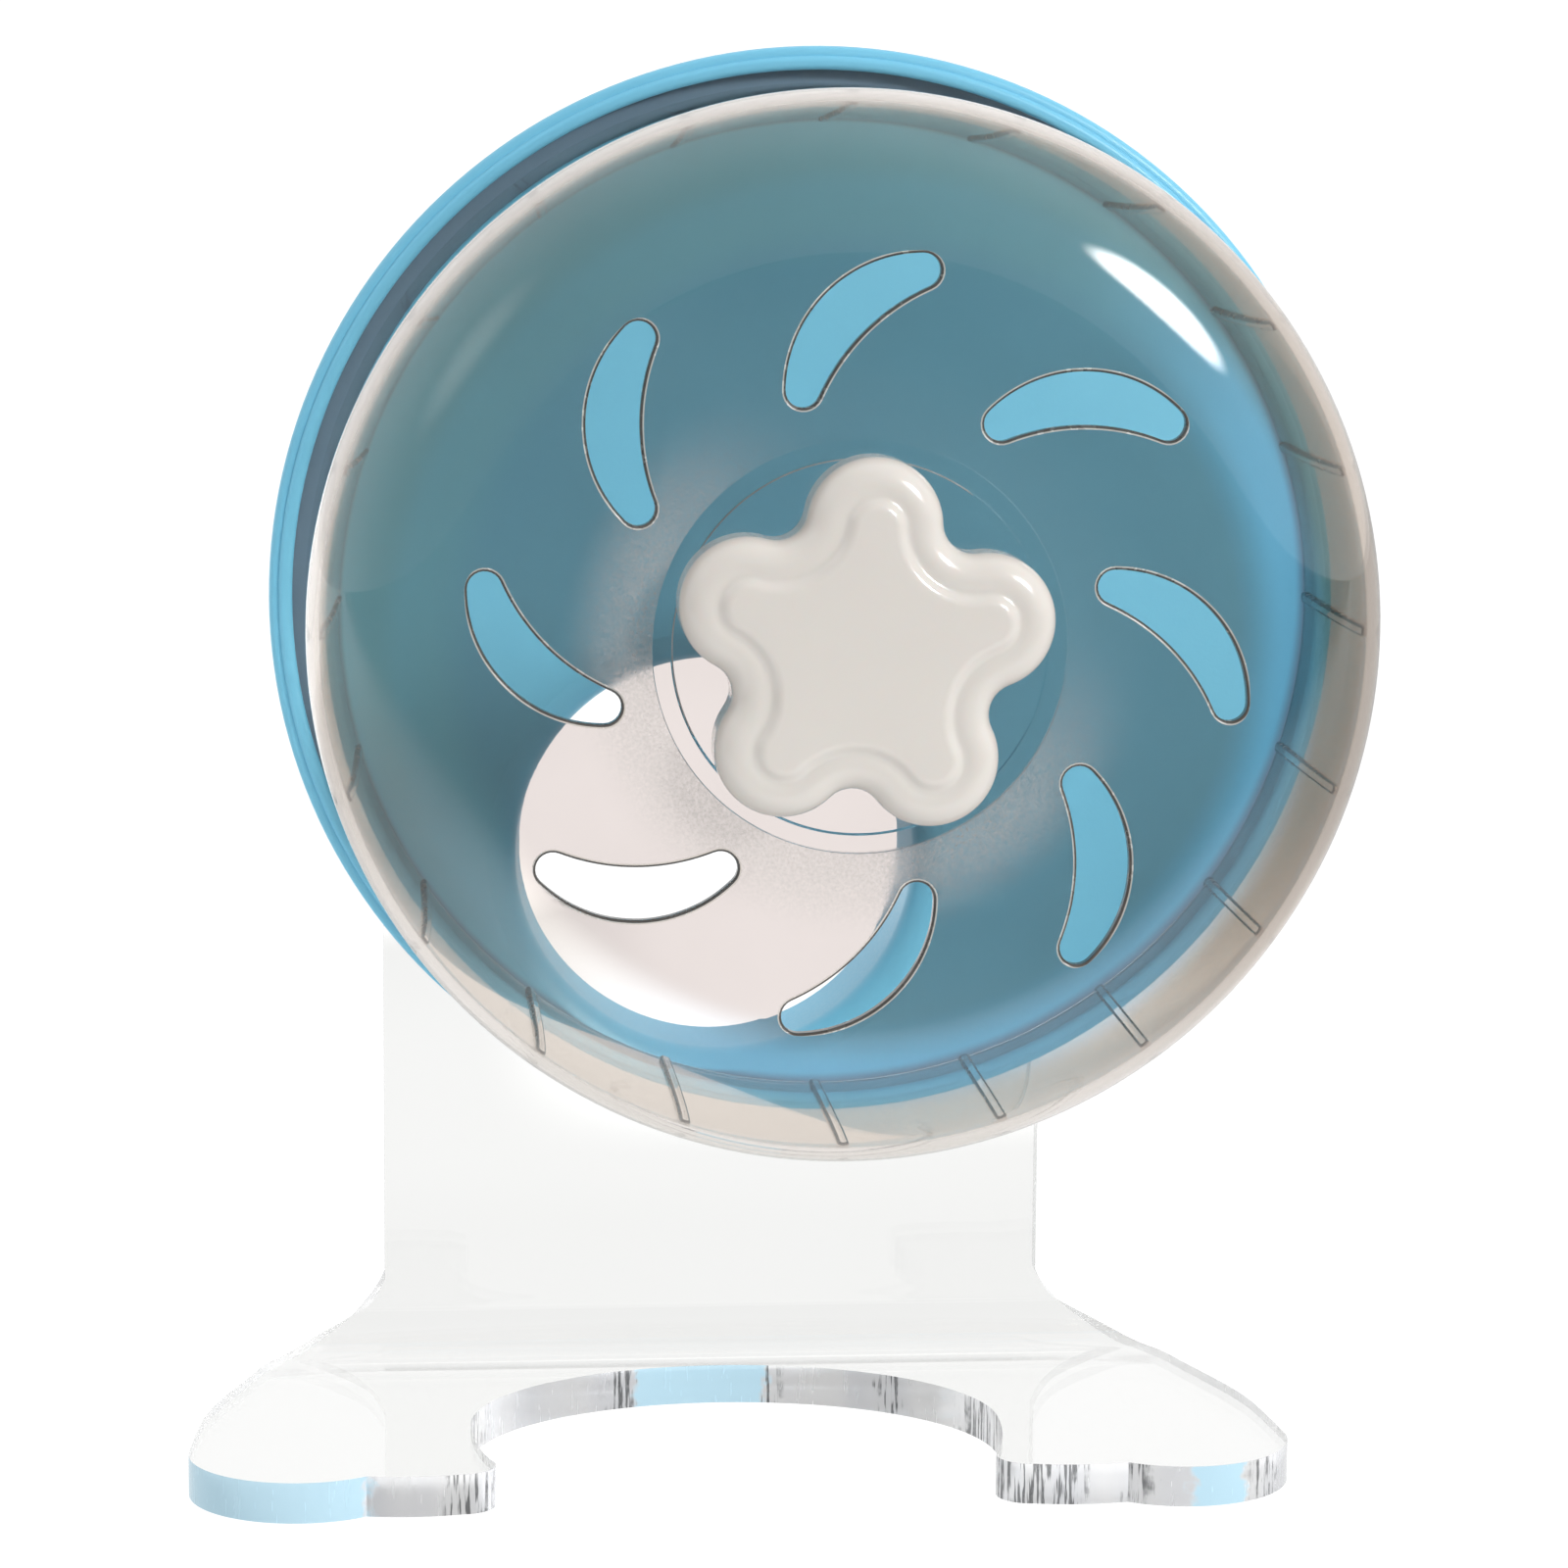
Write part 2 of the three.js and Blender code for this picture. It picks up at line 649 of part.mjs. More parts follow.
// Finishes
function finish(color, roughness, metalness, opacity = 1) {
  return new THREE.MeshStandardMaterial({ color, roughness, metalness, opacity, transparent: opacity < 1 });
}

const clearAcrylic = finish(0xf2f6f7, 0.05, 0, 0.35);
const smokyPlastic = finish(0xa89f99, 0.08, 0, 0.45);
const bluePlastic = finish(0x40acda, 0.4, 0);
const whitePlastic = finish(0xdcd6cd, 0.2, 0);
const softRubber = finish(0x5a6a70, 0.85, 0);
const greyPlastic = finish(0xc9ccce, 0.45, 0);
const zincSteel = finish(0xb6b9bc, 0.35, 1);
const bearingSteel = finish(0xcfd2d5, 0.2, 1);

const wheel = new THREE.Group();
const collarLine = new THREE.Group();
const axleLine = new THREE.Group();
collarLine.position.set(0, uprightFront, collarHeight);
axleLine.position.set(axleX, uprightFront, axleZ);
wheel.add(collarLine, axleLine);

function place(group, name, geometry, material) {
  const mesh = new THREE.Mesh(geometry, material);
  mesh.name = name;
  group.add(mesh);
}

place(wheel, "acrylic_stand", standGeometry(), clearAcrylic);

const collarBore = collarRadius + collarGap;
const gasket = ring(collarBore, collarBore + gasketWidth, seatGap, gasketFront, collarFacets);
place(collarLine, "collar_gasket", gasket, softRubber);
place(collarLine, "clamp_ring", clampRingGeometry(), bluePlastic);

place(axleLine, "back_housing", housingGeometry(), bluePlastic);
place(axleLine, "running_drum", drumGeometry(), smokyPlastic);
place(axleLine, "flower_cap", flowerGeometry(), whitePlastic);
place(axleLine, "hub_carrier", carrierGeometry(), greyPlastic);
around(screwCount, (turn, i) => place(axleLine, `hub_screw_${i + 1}`, screwGeometry(turn), zincSteel));

const washer = (back) => ring(raceBore, washerRadius, back, back + washerThickness, axleFacets);
const sleeve = (back, front) => ring(raceBore, raceBore + spacerWall, back, front, axleFacets);
place(axleLine, "axle_bolt", boltGeometry(), zincSteel);
place(axleLine, "boss_washer", washer(bossWasherBack), zincSteel);
place(axleLine, "jam_nut", nutGeometry(jamNutHeight, jamNutBack), zincSteel);
place(axleLine, "rear_spacer", sleeve(rearSpacerBack, rearBearing - seatGap), zincSteel);
place(axleLine, "middle_spacer", sleeve(rearBearingEnd + seatGap, frontBearing - seatGap), zincSteel);
place(axleLine, "axle_washer", washer(axleWasherBack), zincSteel);
place(axleLine, "lock_nut", nutGeometry(lockNutHeight, lockNutBack), zincSteel);

for (const [side, back] of [["rear", rearBearing], ["front", frontBearing]]) {
  place(axleLine, `${side}_inner_race`, innerRaceGeometry(back), bearingSteel);
  place(axleLine, `${side}_outer_race`, outerRaceGeometry(back), bearingSteel);
  place(axleLine, `${side}_ball_cage`, cageGeometry(back), bearingSteel);
  place(axleLine, `${side}_bearing_shield_1`, shieldGeometry(back, -1), bearingSteel);
  place(axleLine, `${side}_bearing_shield_2`, shieldGeometry(back, 1), bearingSteel);
  around(ballCount, (turn, i) => {
    place(axleLine, `${side}_ball_${i + 1}`, ballGeometry(back, turn), bearingSteel);
  });
}

export default wheel;
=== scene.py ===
"""Exercise wheel for a small pet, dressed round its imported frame.

A smoky drum with crescent vents turns in a blue dished housing, which hangs by its entrance collar
in the hole of a clear bent stand. Metres, +Z up; the viewer looks along +Y.
A place on the axle or the collar is given as its distance ahead of the upright's front face.
"""
import json
import math

import bpy
from mathutils import Matrix, Vector


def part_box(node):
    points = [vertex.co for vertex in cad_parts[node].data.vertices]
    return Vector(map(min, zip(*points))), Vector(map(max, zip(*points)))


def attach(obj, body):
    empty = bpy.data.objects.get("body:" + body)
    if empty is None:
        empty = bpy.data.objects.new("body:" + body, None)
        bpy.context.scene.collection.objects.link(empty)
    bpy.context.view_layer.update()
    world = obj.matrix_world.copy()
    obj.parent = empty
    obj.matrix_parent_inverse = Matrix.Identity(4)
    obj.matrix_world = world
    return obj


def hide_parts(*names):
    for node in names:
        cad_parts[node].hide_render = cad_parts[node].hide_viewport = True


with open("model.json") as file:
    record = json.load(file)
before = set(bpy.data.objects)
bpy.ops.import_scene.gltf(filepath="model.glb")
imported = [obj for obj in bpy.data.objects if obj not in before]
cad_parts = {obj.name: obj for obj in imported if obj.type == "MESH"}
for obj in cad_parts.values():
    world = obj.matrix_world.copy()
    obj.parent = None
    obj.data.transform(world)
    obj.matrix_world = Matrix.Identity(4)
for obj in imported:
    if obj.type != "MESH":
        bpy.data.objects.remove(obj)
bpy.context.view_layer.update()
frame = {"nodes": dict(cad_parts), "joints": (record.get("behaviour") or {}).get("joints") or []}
bpy.ops.object.select_all(action="DESELECT")

MM = 0.001
quarter = math.pi / 2
joints = {joint["name"]: joint for joint in frame["joints"]}
axle = Vector(joints["wheel_spin"]["pos_m"])
collar = Vector(joints["housing_swivel"]["pos_m"])
upright_front = axle.y


def reach(node):
    """How far ahead of the upright a node's back and front are, and half its width."""
    low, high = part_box(node)
    return upright_front - high.y, upright_front - low.y, (high.x - low.x) / 2


# Clearances and facets
seat_gap = 0.3 * MM
bore_gap = 0.15 * MM
cut_margin = 5 * MM
overlap = 0.05 * MM
merge_gap = 0.001 * MM
wide_steps = 192
collar_steps = 128
hub_steps = 64
facet = 1.1 * MM

# Stand
sheet = 8 * MM
bend_radius = 9 * MM
stand_low, stand_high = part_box("acrylic_stand")
upright_half = stand_high.z - collar.z
foot_half = stand_high.x
foot_reach = upright_front - stand_low.y
flare_rise = 6 * MM
flare_start = 3.8 * MM
bend_half = 85 * MM
knee_half = 93 * MM
shoulder_half = 97.6 * MM
shoulder_run = 13 * MM
flank_half = 105.5 * MM
flank_run = 40 * MM
outer_toe = 22 * MM
inner_toe = 6.5 * MM
notch_half = foot_half - 34.5 * MM
toe_gap_half = 49 * MM
inner_toe_reach = 95.6 * MM
inner_toe_turn = math.radians(120)
scallop_rise = 2.2 * MM
cutout_half = 53 * MM
cutout_depth = 43.5 * MM
bridge_depth = 9 * MM
sheet_edge = 0.4 * MM
edge_slope = 0.6

# Collar, its gasket and its clamp ring
gasket_back, gasket_front, gasket_radius = reach("collar_gasket")
ring_back, ring_front, ring_radius = reach("clamp_ring")
collar_back, boss_front, belly_radius = reach("back_housing")
collar_radius = 44 * MM
collar_gap = 0.4 * MM
collar_bore = collar_radius + collar_gap
throat_radius = 40.2 * MM
throat_taper = 1.3 * MM
mouth_flare = 7.1 * MM
mouth_depth = 6 * MM
grip_count = 16
grip_depth = 1.4 * MM
grip_steps = 12
grip_edge = 0.9 * MM
gasket_edge = 0.5 * MM

# Housing
plate_back = gasket_front + seat_gap
housing_depth = 8 * MM
lip_front = plate_back + housing_depth
plate_wall = 3 * MM
plate_front = plate_back + plate_wall
lip_wall = 2.8 * MM
lip_land = 1.5 * MM
lip_round = 1.1 * MM
housing_corner = 5 * MM
boss_radius = 9.2 * MM
boss_draft = 1 * MM
boss_fillet = 0.8 * MM
boss_edge = 1 * MM
collar_edge = 0.8 * MM
bolt_head = 5.3 * MM

# Drum
drum_back, drum_front, drum_radius = reach("running_drum")
drum_wall = 2.5 * MM
drum_gap = 2.6 * MM
drum_round = 26 * MM
shoulder_start = 74 * MM
shoulder_pull = 90 * MM
shoulder_drop = 9 * MM
shoulder_steps = 40
drum_edge = 0.8 * MM
bore_edge = 0.3 * MM
lip_inner = drum_radius + drum_gap
face_back = drum_front - drum_wall
face_bore = 14.95 * MM
slot_count = 8
slot_middle = 60 * MM
slot_chord = 32 * MM
slot_end = 3.3 * MM
slot_bulge = 6.6 * MM
slot_hollow = 3 * MM
slot_slant = math.radians(45)
slot_round = 0.75 * MM
rung_count = 20
rung_length = 62 * MM
rung_setback = 1.5 * MM
rung_width = 2.2 * MM
rung_rise = 1 * MM
rung_edge = 0.5 * MM
flat_slope = 0.995
pale_slope = 0.9
rung_slope = 0.975
clear_disc = 39.6 * MM
disc_step = 0.15 * MM
ring_groove = 36 * MM
groove_width = 0.5 * MM

# Hub
axle_radius = 4 * MM
race_bore = axle_radius + bore_gap
hex_radius = 7.5 * MM
bearing_radius = reach("rear_outer_race")[2]
bearing_seat = bearing_radius + bore_gap
flange_wall = 4 * MM
flange_back = face_back - seat_gap - flange_wall
flange_fillet = 1.5 * MM
barrel_wall = 2.85 * MM
neck_wall = 3.5 * MM
seat_step = 1.32 * MM
carrier_edge = 0.5 * MM
nut_cone = 0.6 * MM
bolt_point = 0.9 * MM
dimple_top, dimple_foot = 4.6 * MM, 4.2 * MM
dimple_depth, dimple_middle = 0.35 * MM, 0.5 * MM
washer_edge = 0.25 * MM
spacer_edge = 0.3 * MM
race_edge = 0.3 * MM
shield_edge = 0.15 * MM
groove_gap = 0.12 * MM
shoulder_share = 0.8
screw_count = 4
screw_circle = 19.95 * MM
screw_hole = 1.65 * MM
screw_steps = 16

# Flower cap
cap_back, cap_front, _ = reach("flower_cap")
cap_wall = 2.2 * MM
cap_round = 5 * MM
cap_roof = cap_front - cap_wall
petal_count = 5
petal_radius = 13 * MM
petal_tip = 36.95 * MM
petal_valley = 26.05 * MM
petal_turn = math.radians(-4)
panel_rise = 1.3 * MM
panel_crown = 0.22 * MM
plug_wall = 1.8 * MM
plug_depth = 4 * MM
plug_edge = 0.4 * MM

# The cap's crease and the shoulder of its panel, (from the edge, above the crest) in millimetres
cap_crease = ((5.6, -0.05), (6.1, -0.15), (6.6, -0.24), (7.0, -0.26), (7.4, -0.15), (7.8, 0.1), (8.2, 0.42))
cap_shoulder = ((8.6, 0.7), (9.0, 0.89), (9.4, 0.98), (9.8, 1.03))

# Outlines


def arc(across, along, radius, start, end, high=None):
    """Points of an arc or, with a second radius, of an ellipse; angles in radians."""
    high = radius if high is None else high
    steps = max(4, math.ceil(max(radius, high) * abs(end - start) / facet))
    turns = [start + (end - start) * i / steps for i in range(steps + 1)]
    return [(across + radius * math.cos(t), along + high * math.sin(t)) for t in turns]


def bow(*ends_and_pulls, steps=16):
    """Points of a curve between its first and last point, drawn towards those between them."""
    made = []
    for i in range(steps + 1):
        row = [Vector(point) for point in ends_and_pulls]
        while len(row) > 1:
            row = [near.lerp(far, i / steps) for near, far in zip(row, row[1:])]
        made.append(tuple(row[0]))
    return made


def rounded(*corners):
    """A closed outline through corners (across, along, radius), each cut to an arc of its radius."""
    made = []
    for i, (across, along, radius) in enumerate(corners):
        here = Vector((across, along))
        before = (Vector(corners[i - 1][:2]) - here).normalized()
        after = (Vector(corners[(i + 1) % len(corners)][:2]) - here).normalized()
        if radius == 0:
            made.append((across, along))
            continue
        half = before.angle(after) / 2
        middle = here + (before + after).normalized() * (radius / math.sin(half))
        start = here + before * (radius / math.tan(half)) - middle
        turn = math.pi - 2 * half
        if start.x * after.y - start.y * after.x < 0:
            turn = -turn
        first = math.atan2(start.y, start.x)
        made += arc(middle.x, middle.y, radius, first, first + turn)
    return made


def tidy(points):
    """The points without those that fall on the one before."""
    kept = [points[0]]
    for point in points[1:]:
        if (Vector(point) - Vector(kept[-1])).length > merge_gap:
            kept.append(point)
    return kept


# Shaping


def pick(piece):
    """Selects one piece alone."""
    bpy.ops.object.select_all(action="DESELECT")
    piece.select_set(True)
    bpy.context.view_layer.objects.active = piece


def shape():
    bpy.ops.object.mode_set(mode="EDIT")


def leave():
    bpy.ops.object.mode_set(mode="OBJECT")


def select(how="SELECT"):
    bpy.ops.mesh.select_all(action=how)


def merge():
    """Merges the points that meet."""
    select()
    bpy.ops.mesh.remove_doubles(threshold=merge_gap)


def drawn(name, points):
    """A line through the points, pulled out of a plane that is merged to the first of them."""
    bpy.ops.object.select_all(action="DESELECT")
    bpy.ops.mesh.primitive_plane_add(size=MM, location=points[0])
    piece = bpy.context.object
    piece.name = name
    bpy.ops.object.transform_apply(location=True, rotation=True, scale=True)
    shape()
    bpy.ops.mesh.select_mode(type="VERT")
    select()
    bpy.ops.mesh.merge(type="CENTER")
    for start, end in zip(points, points[1:]):
        bpy.ops.mesh.extrude_vertices_move(TRANSFORM_OT_translate={"value": end - start})
    merge()
    return piece


def close_shell():
    """Merges what meets, turns the faces outwards and leaves edit mode."""
    merge()
    bpy.ops.mesh.normals_make_consistent(inside=False)
    leave()


def push_out(step):
    """Fills the outline that is drawn and pushes it out to a closed solid."""
    bpy.ops.mesh.edge_face_add()
    bpy.ops.mesh.extrude_region_move(TRANSFORM_OT_translate={"value": step})
    close_shell()


def turned(name, outline, centre=axle, steps=hub_steps):
    """A round piece: an outline of (radius, ahead) spun about a line along Y."""
    points = [Vector((centre.x, upright_front - d, centre.z + r)) for r, d in tidy(outline)]
    if outline[0][0] > 0:
        points.append(points[0])
    piece = drawn(name, points)
    bpy.ops.mesh.spin(steps=steps, angle=2 * math.pi, center=centre, axis=(0, 1, 0))
    close_shell()
    return piece


def slab(name, outline, back, front, centre=axle):
    """An outline seen from the front, pushed out from one distance ahead to another."""
    points = [Vector((centre.x + x, upright_front - back, centre.z + z)) for x, z in tidy(outline)]
    piece = drawn(name, points + points[:1])
    push_out((0, back - front, 0))
    return piece


def repeated(piece, count, centre=axle):
    """Copies all of a piece's mesh evenly round a line along Y."""
    pick(piece)
    shape()
    select()
    turn = 2 * math.pi * (count - 1) / count
    bpy.ops.mesh.spin(steps=count - 1, dupli=True, angle=turn, center=centre, axis=(0, 1, 0))
    leave()
    return piece


def settle(piece, modifier):
    pick(piece)
    bpy.ops.object.modifier_apply(modifier=modifier.name)


def joined(piece, tool, how="UNION"):
    """Joins a tool to a piece, cuts it away or keeps what both hold, and throws the tool away."""
    step = piece.modifiers.new("join", "BOOLEAN")
    step.operation = how
    step.solver = "EXACT"
    step.object = tool
    settle(piece, step)
    bpy.data.objects.remove(tool)
    return piece


def cut(piece, tool):
    joined(piece, tool, "DIFFERENCE")


def open_faces(piece, wanted):
    """Opens a piece for shaping with the faces selected that pass a test."""
    pick(piece)
    shape()
    bpy.ops.mesh.select_mode(type="FACE")
    select("DESELECT")
    leave()
    for face in piece.data.polygons:
        face.select = wanted(face)
    shape()


def softened(piece, size, least_angle=50, segments=2):
    """Bevels every edge sharper than an angle."""
    pick(piece)
    shape()
    bpy.ops.mesh.select_mode(type="EDGE")
    select("DESELECT")
    bpy.ops.mesh.edges_select_sharp(sharpness=math.radians(least_angle))
    bpy.ops.mesh.bevel(offset=size, segments=segments, affect="EDGES", clamp_overlap=True)
    leave()


def smoothed(piece, angle=30):
    """Merges what meets, shades a piece smooth, and keeps the shading of its large flat faces flat."""
    pick(piece)
    shape()
    merge()
    leave()
    bpy.ops.object.shade_smooth_by_angle(angle=math.radians(angle))
    even = piece.modifiers.new("even", "WEIGHTED_NORMAL")
    even.keep_sharp = True
    settle(piece, even)
    return piece


def from_axle(point):
    """A point's distance from the axle."""
    return math.hypot(point.x - axle.x, point.z - axle.z)


# Finishes


def finish(name, constants):
    """A material of one Principled shader with the values that are the same all over it."""
    material = bpy.data.materials.new(name)
    material.use_nodes = True
    shader = material.node_tree.nodes["Principled BSDF"]
    for socket, value in constants.items():
        shader.inputs[socket].default_value = value
    return material


def node(owner, kind, settings=None, inputs=None):
    """A new node of a material, a lamp or the world; an input is a value or another node's output."""
    made = owner.node_tree.nodes.new(kind)
    for key, value in (settings or {}).items():
        setattr(made, key, value)
    for key, value in (inputs or {}).items():
        if isinstance(value, bpy.types.NodeSocket):
            owner.node_tree.links.new(value, made.inputs[key])
        else:
            made.inputs[key].default_value = value
    return made


def link(owner, output, socket, target="Principled BSDF"):
    """Leads an output to a socket of one of the nodes that the owner came with."""
    owner.node_tree.links.new(output, owner.node_tree.nodes[target].inputs[socket])


def vector_maths(owner, operation, output, inputs):
    return node(owner, "ShaderNodeVectorMath", {"operation": operation}, inputs).outputs[output]


def apart(material, where):
    """How far each point lies along X, Y and Z."""
    return node(material, "ShaderNodeSeparateXYZ", None, {0: where}).outputs


def place(material, centre=(0, 0, 0), stretch=(1, 1, 1), turn=(0, 0, 0)):
    """Object coordinates measured from a centre, stretched and turned."""
    coordinates = node(material, "ShaderNodeTexCoord").outputs["Object"]
    shifted = vector_maths(material, "SUBTRACT", "Vector", {0: coordinates, 1: centre})
    inputs = {"Vector": shifted, "Scale": stretch, "Rotation": turn}
    return node(material, "ShaderNodeMapping", None, inputs).outputs["Vector"]


def noise(material, where, scale, detail=3.0, roughness=0.55):
    inputs = {"Vector": where, "Scale": scale, "Detail": detail, "Roughness": roughness}
    return node(material, "ShaderNodeTexNoise", None, inputs).outputs["Fac"]


def ranged(owner, value, low, high, to_low, to_high, shape="SMOOTHSTEP"):
    """A value's range from low to high, carried to another range and held there."""
    inputs = {"Value": value, "From Min": low, "From Max": high, "To Min": to_low, "To Max": to_high}
    made = node(owner, "ShaderNodeMapRange", {"interpolation_type": shape, "clamp": True}, inputs)
    return made.outputs["Result"]


def towards(owner, where, direction):
    """How far each point lies in a direction."""
    return vector_maths(owner, "DOT_PRODUCT", "Value", {0: where, 1: direction})


def times(material, *shares):
    """The product of several shares."""
    product = shares[0]
    for share in shares[1:]:
        product = maths(material, "MULTIPLY", product, share)
    return product


def maths(material, operation, first, second):
    return node(material, "ShaderNodeMath", {"operation": operation}, {0: first, 1: second}).outputs[0]


def blended(material, share, first, second):
    """Two colours mixed by a share."""
    inputs = {0: share, 6: first, 7: second}
    return node(material, "ShaderNodeMix", {"data_type": "RGBA"}, inputs).outputs[2]


def bumped(material, height, depth):
    inputs = {"Height": height, "Distance": depth, "Strength": 1}
    link(material, node(material, "ShaderNodeBump", None, inputs).outputs["Normal"], "Normal")


def radius_about(material, centre):
    """Each point's distance from a line along Y."""
    return vector_maths(material, "LENGTH", "Value", {0: place(material, centre, (1, 0, 1))})


def lit_through(material, tint):
    """Lets the lamps shine through, so that what stands behind is lit."""
    shader = material.node_tree.nodes["Principled BSDF"]
    clear = node(material, "ShaderNodeBsdfTransparent", None, {"Color": tint})
    shadow = node(material, "ShaderNodeLightPath").outputs["Is Shadow Ray"]
    inputs = {0: shadow, 1: shader.outputs["BSDF"], 2: clear.outputs["BSDF"]}
    mixed = node(material, "ShaderNodeMixShader", None, inputs)
    link(material, mixed.outputs["Shader"], "Surface", "Material Output")


def colour(red, green, blue):
    return (red, green, blue, 1)


def clear_sheet():
    material = finish("clear_acrylic_sheet", {"Transmission Weight": 1, "IOR": 1.49})
    where = place(material)
    cloud = noise(material, where, 9, 2)
    tint = blended(material, cloud, colour(0.915, 0.92, 0.905), colour(0.95, 0.95, 0.945))
    link(material, tint, "Base Color")
    scratch = noise(material, place(material, stretch=(900, 60, 25), turn=(0, 0.5, 0.2)), 1, 2)
    link(material, ranged(material, scratch, 0.62, 0.8, 0.01, 0.09), "Roughness")
    bumped(material, scratch, 0.004 * MM)
    lit_through(material, colour(0.95, 0.96, 0.96))
    return material


# Stretches of the stand's front edges, from X to X in millimetres, and how soft their ends are: first those
# with a painted reflection of the blue housing, then those with the saw's dark marks
reflection_stretches = ((-112, -73.5), (-18, 10), (86, 97))
sawn_stretches = ((-58, -50), (-23, -18.5), (9, 12.5), (33, 36.5), (48, 65), (74, 78), (99, 103))
reflection_blend = 1.2
sawn_blend = 1.5
edge_wander = 8 * MM
front_edge_start, front_edge_end = -68 * MM, -60 * MM
inside_edge_start, inside_edge_end = 56 * MM, 60 * MM


def sheet_edges():
    """The sheet's sawn edges: pale, with stretches of painted reflection of the blue housing and dark marks
    of the saw between them.
    """
    material = finish("clear_acrylic_edge", {"IOR": 1.49})
    where = place(material)
    across, ahead, _ = apart(material, where)
    waver = maths(material, "SUBTRACT", noise(material, where, 300, 2), 0.5)
    along = maths(material, "ADD", across, maths(material, "MULTIPLY", waver, edge_wander))
    front = ranged(material, ahead, front_edge_start, front_edge_end, 1, 0)
    aside = maths(material, "ABSOLUTE", across, 0)
    inside = ranged(material, aside, inside_edge_start, inside_edge_end, 1, 0)
    shown = maths(material, "MAXIMUM", front, inside)

    def stretches(spans, blend):
        """Where the edge is in one of the stretches, from 0 to 1."""
        found = []
        for first, last in spans:
            rise = ranged(material, along, (first - blend) * MM, (first + blend) * MM, 0, 1)
            fall = ranged(material, along, (last - blend) * MM, (last + blend) * MM, 1, 0)
            found.append(times(material, rise, fall))
        total = found[0]
        for span in found[1:]:
            total = maths(material, "MAXIMUM", total, span)
        return times(material, total, shown)

    drift = ranged(material, noise(material, place(material, stretch=(1, 1, 0)), 60, 1), 0.35, 0.65, 0, 1)
    pale = blended(material, drift, colour(0.86, 0.87, 0.9), colour(0.95, 0.95, 0.95))
    # Painted reflection: the blue housing's colour laid on stretches of the clear edge, which lets less
    # light through there
    painted_blue_reflection = stretches(reflection_stretches, reflection_blend)
    tint = blended(material, painted_blue_reflection, pale, colour(0.5, 0.74, 0.87))
    saw = noise(material, place(material, stretch=(1300, 1300, 90)), 1, 3)
    lines = ranged(material, saw, 0.48, 0.56, 0, 0.9)
    marks = times(material, stretches(sawn_stretches, sawn_blend), lines)
    link(material, blended(material, marks, tint, colour(0.1, 0.105, 0.11)), "Base Color")
    link(material, ranged(material, saw, 0.3, 0.75, 0.12, 0.3), "Roughness")
    link(material, ranged(material, painted_blue_reflection, 0, 1, 0.45, 0.15, "LINEAR"), "Transmission Weight")
    bumped(material, times(material, saw, shown), 0.012 * MM)
    lit_through(material, colour(0.9, 0.93, 0.94))
    return material


# Where the drum's tint, frost and painted light change, by the distance from the axle
face_tint_end, wall_tint_start = 72 * MM, 82 * MM
lit_ring_end, wall_start = 86 * MM, 92 * MM
frost_full, frost_end = 43 * MM, 57.5 * MM
painted_sheen_start, painted_sheen_full = 100 * MM, 104.7 * MM
disc_blend = 0.05 * MM

# Directions across the drum, seen from the front
downwards = (-0.25, 0, -0.97)
lower_right = (0.8, 0, -0.6)
lower_left = (-0.57, 0, -0.82)
upper_left = (-0.5, 0, 0.87)


def drum_tint(material, where, radius):
    """Deep on the face and tan on the wall, with painted light: the wall paler towards the bottom, as if
    lit by the floor, and a clearer, bluer ring at the lower right that brightens the blue seen through it.
    """
    cloud = noise(material, where, 30, 3)
    deep = blended(material, cloud, colour(0.5, 0.455, 0.44), colour(0.56, 0.51, 0.495))
    tan = blended(material, cloud, colour(0.53, 0.455, 0.39), colour(0.58, 0.505, 0.44))
    # Painted light: the wall's tint grows paler towards the bottom, where the floor would light it
    painted_floor_light = ranged(material, towards(material, where, downwards), 30 * MM, 92 * MM, 0, 1)
    tan = blended(material, painted_floor_light, tan, colour(0.83, 0.78, 0.735))
    # Painted light: a clearer, bluer ring at the lower right of the rim, which brightens the blue seen
    # through it
    lit_ring_side = ranged(material, towards(material, where, lower_right), -20 * MM, 50 * MM, 0.12, 1)
    painted_lit_ring = times(material, ranged(material, radius, lit_ring_end, wall_start, 1, 0), lit_ring_side)
    pale = blended(material, painted_lit_ring, tan, colour(0.66, 0.74, 0.82))
    face = ranged(material, radius, face_tint_end, wall_tint_start, 1, 0)
    return blended(material, face, pale, deep), face


def drum_frost(material, where, radius):
    """A fine frost round the clear disc, strongest at the lower left."""
    inner = ranged(material, radius, clear_disc - disc_blend, clear_disc + disc_blend, 0, 1)
    outer = ranged(material, radius, frost_full, frost_end, 1, 0)
    aside = ranged(material, towards(material, where, lower_left), -30 * MM, 12 * MM, 0.04, 1)
    speck = ranged(material, noise(material, where, 1700, 2, 0.7), 0.3, 0.7, 0.2, 0.55)
    return times(material, inner, outer, aside, speck)


def drum_painted_sheen(material, where, radius):
    """A painted sheen on the wide rounded rim at the upper left: a whitish band that stands in for the
    bright surroundings reflected at grazing angles.
    """
    ahead = apart(material, where)["Y"]
    round_start = drum_round - drum_front
    forward = ranged(material, ahead, round_start - 4 * MM, round_start + 2 * MM, 1, 0)
    rim = ranged(material, radius, painted_sheen_start, painted_sheen_full, 0, 1)
    upper = ranged(material, towards(material, where, upper_left), -20 * MM, 80 * MM, 0, 0.85)
    return times(material, forward, rim, upper)


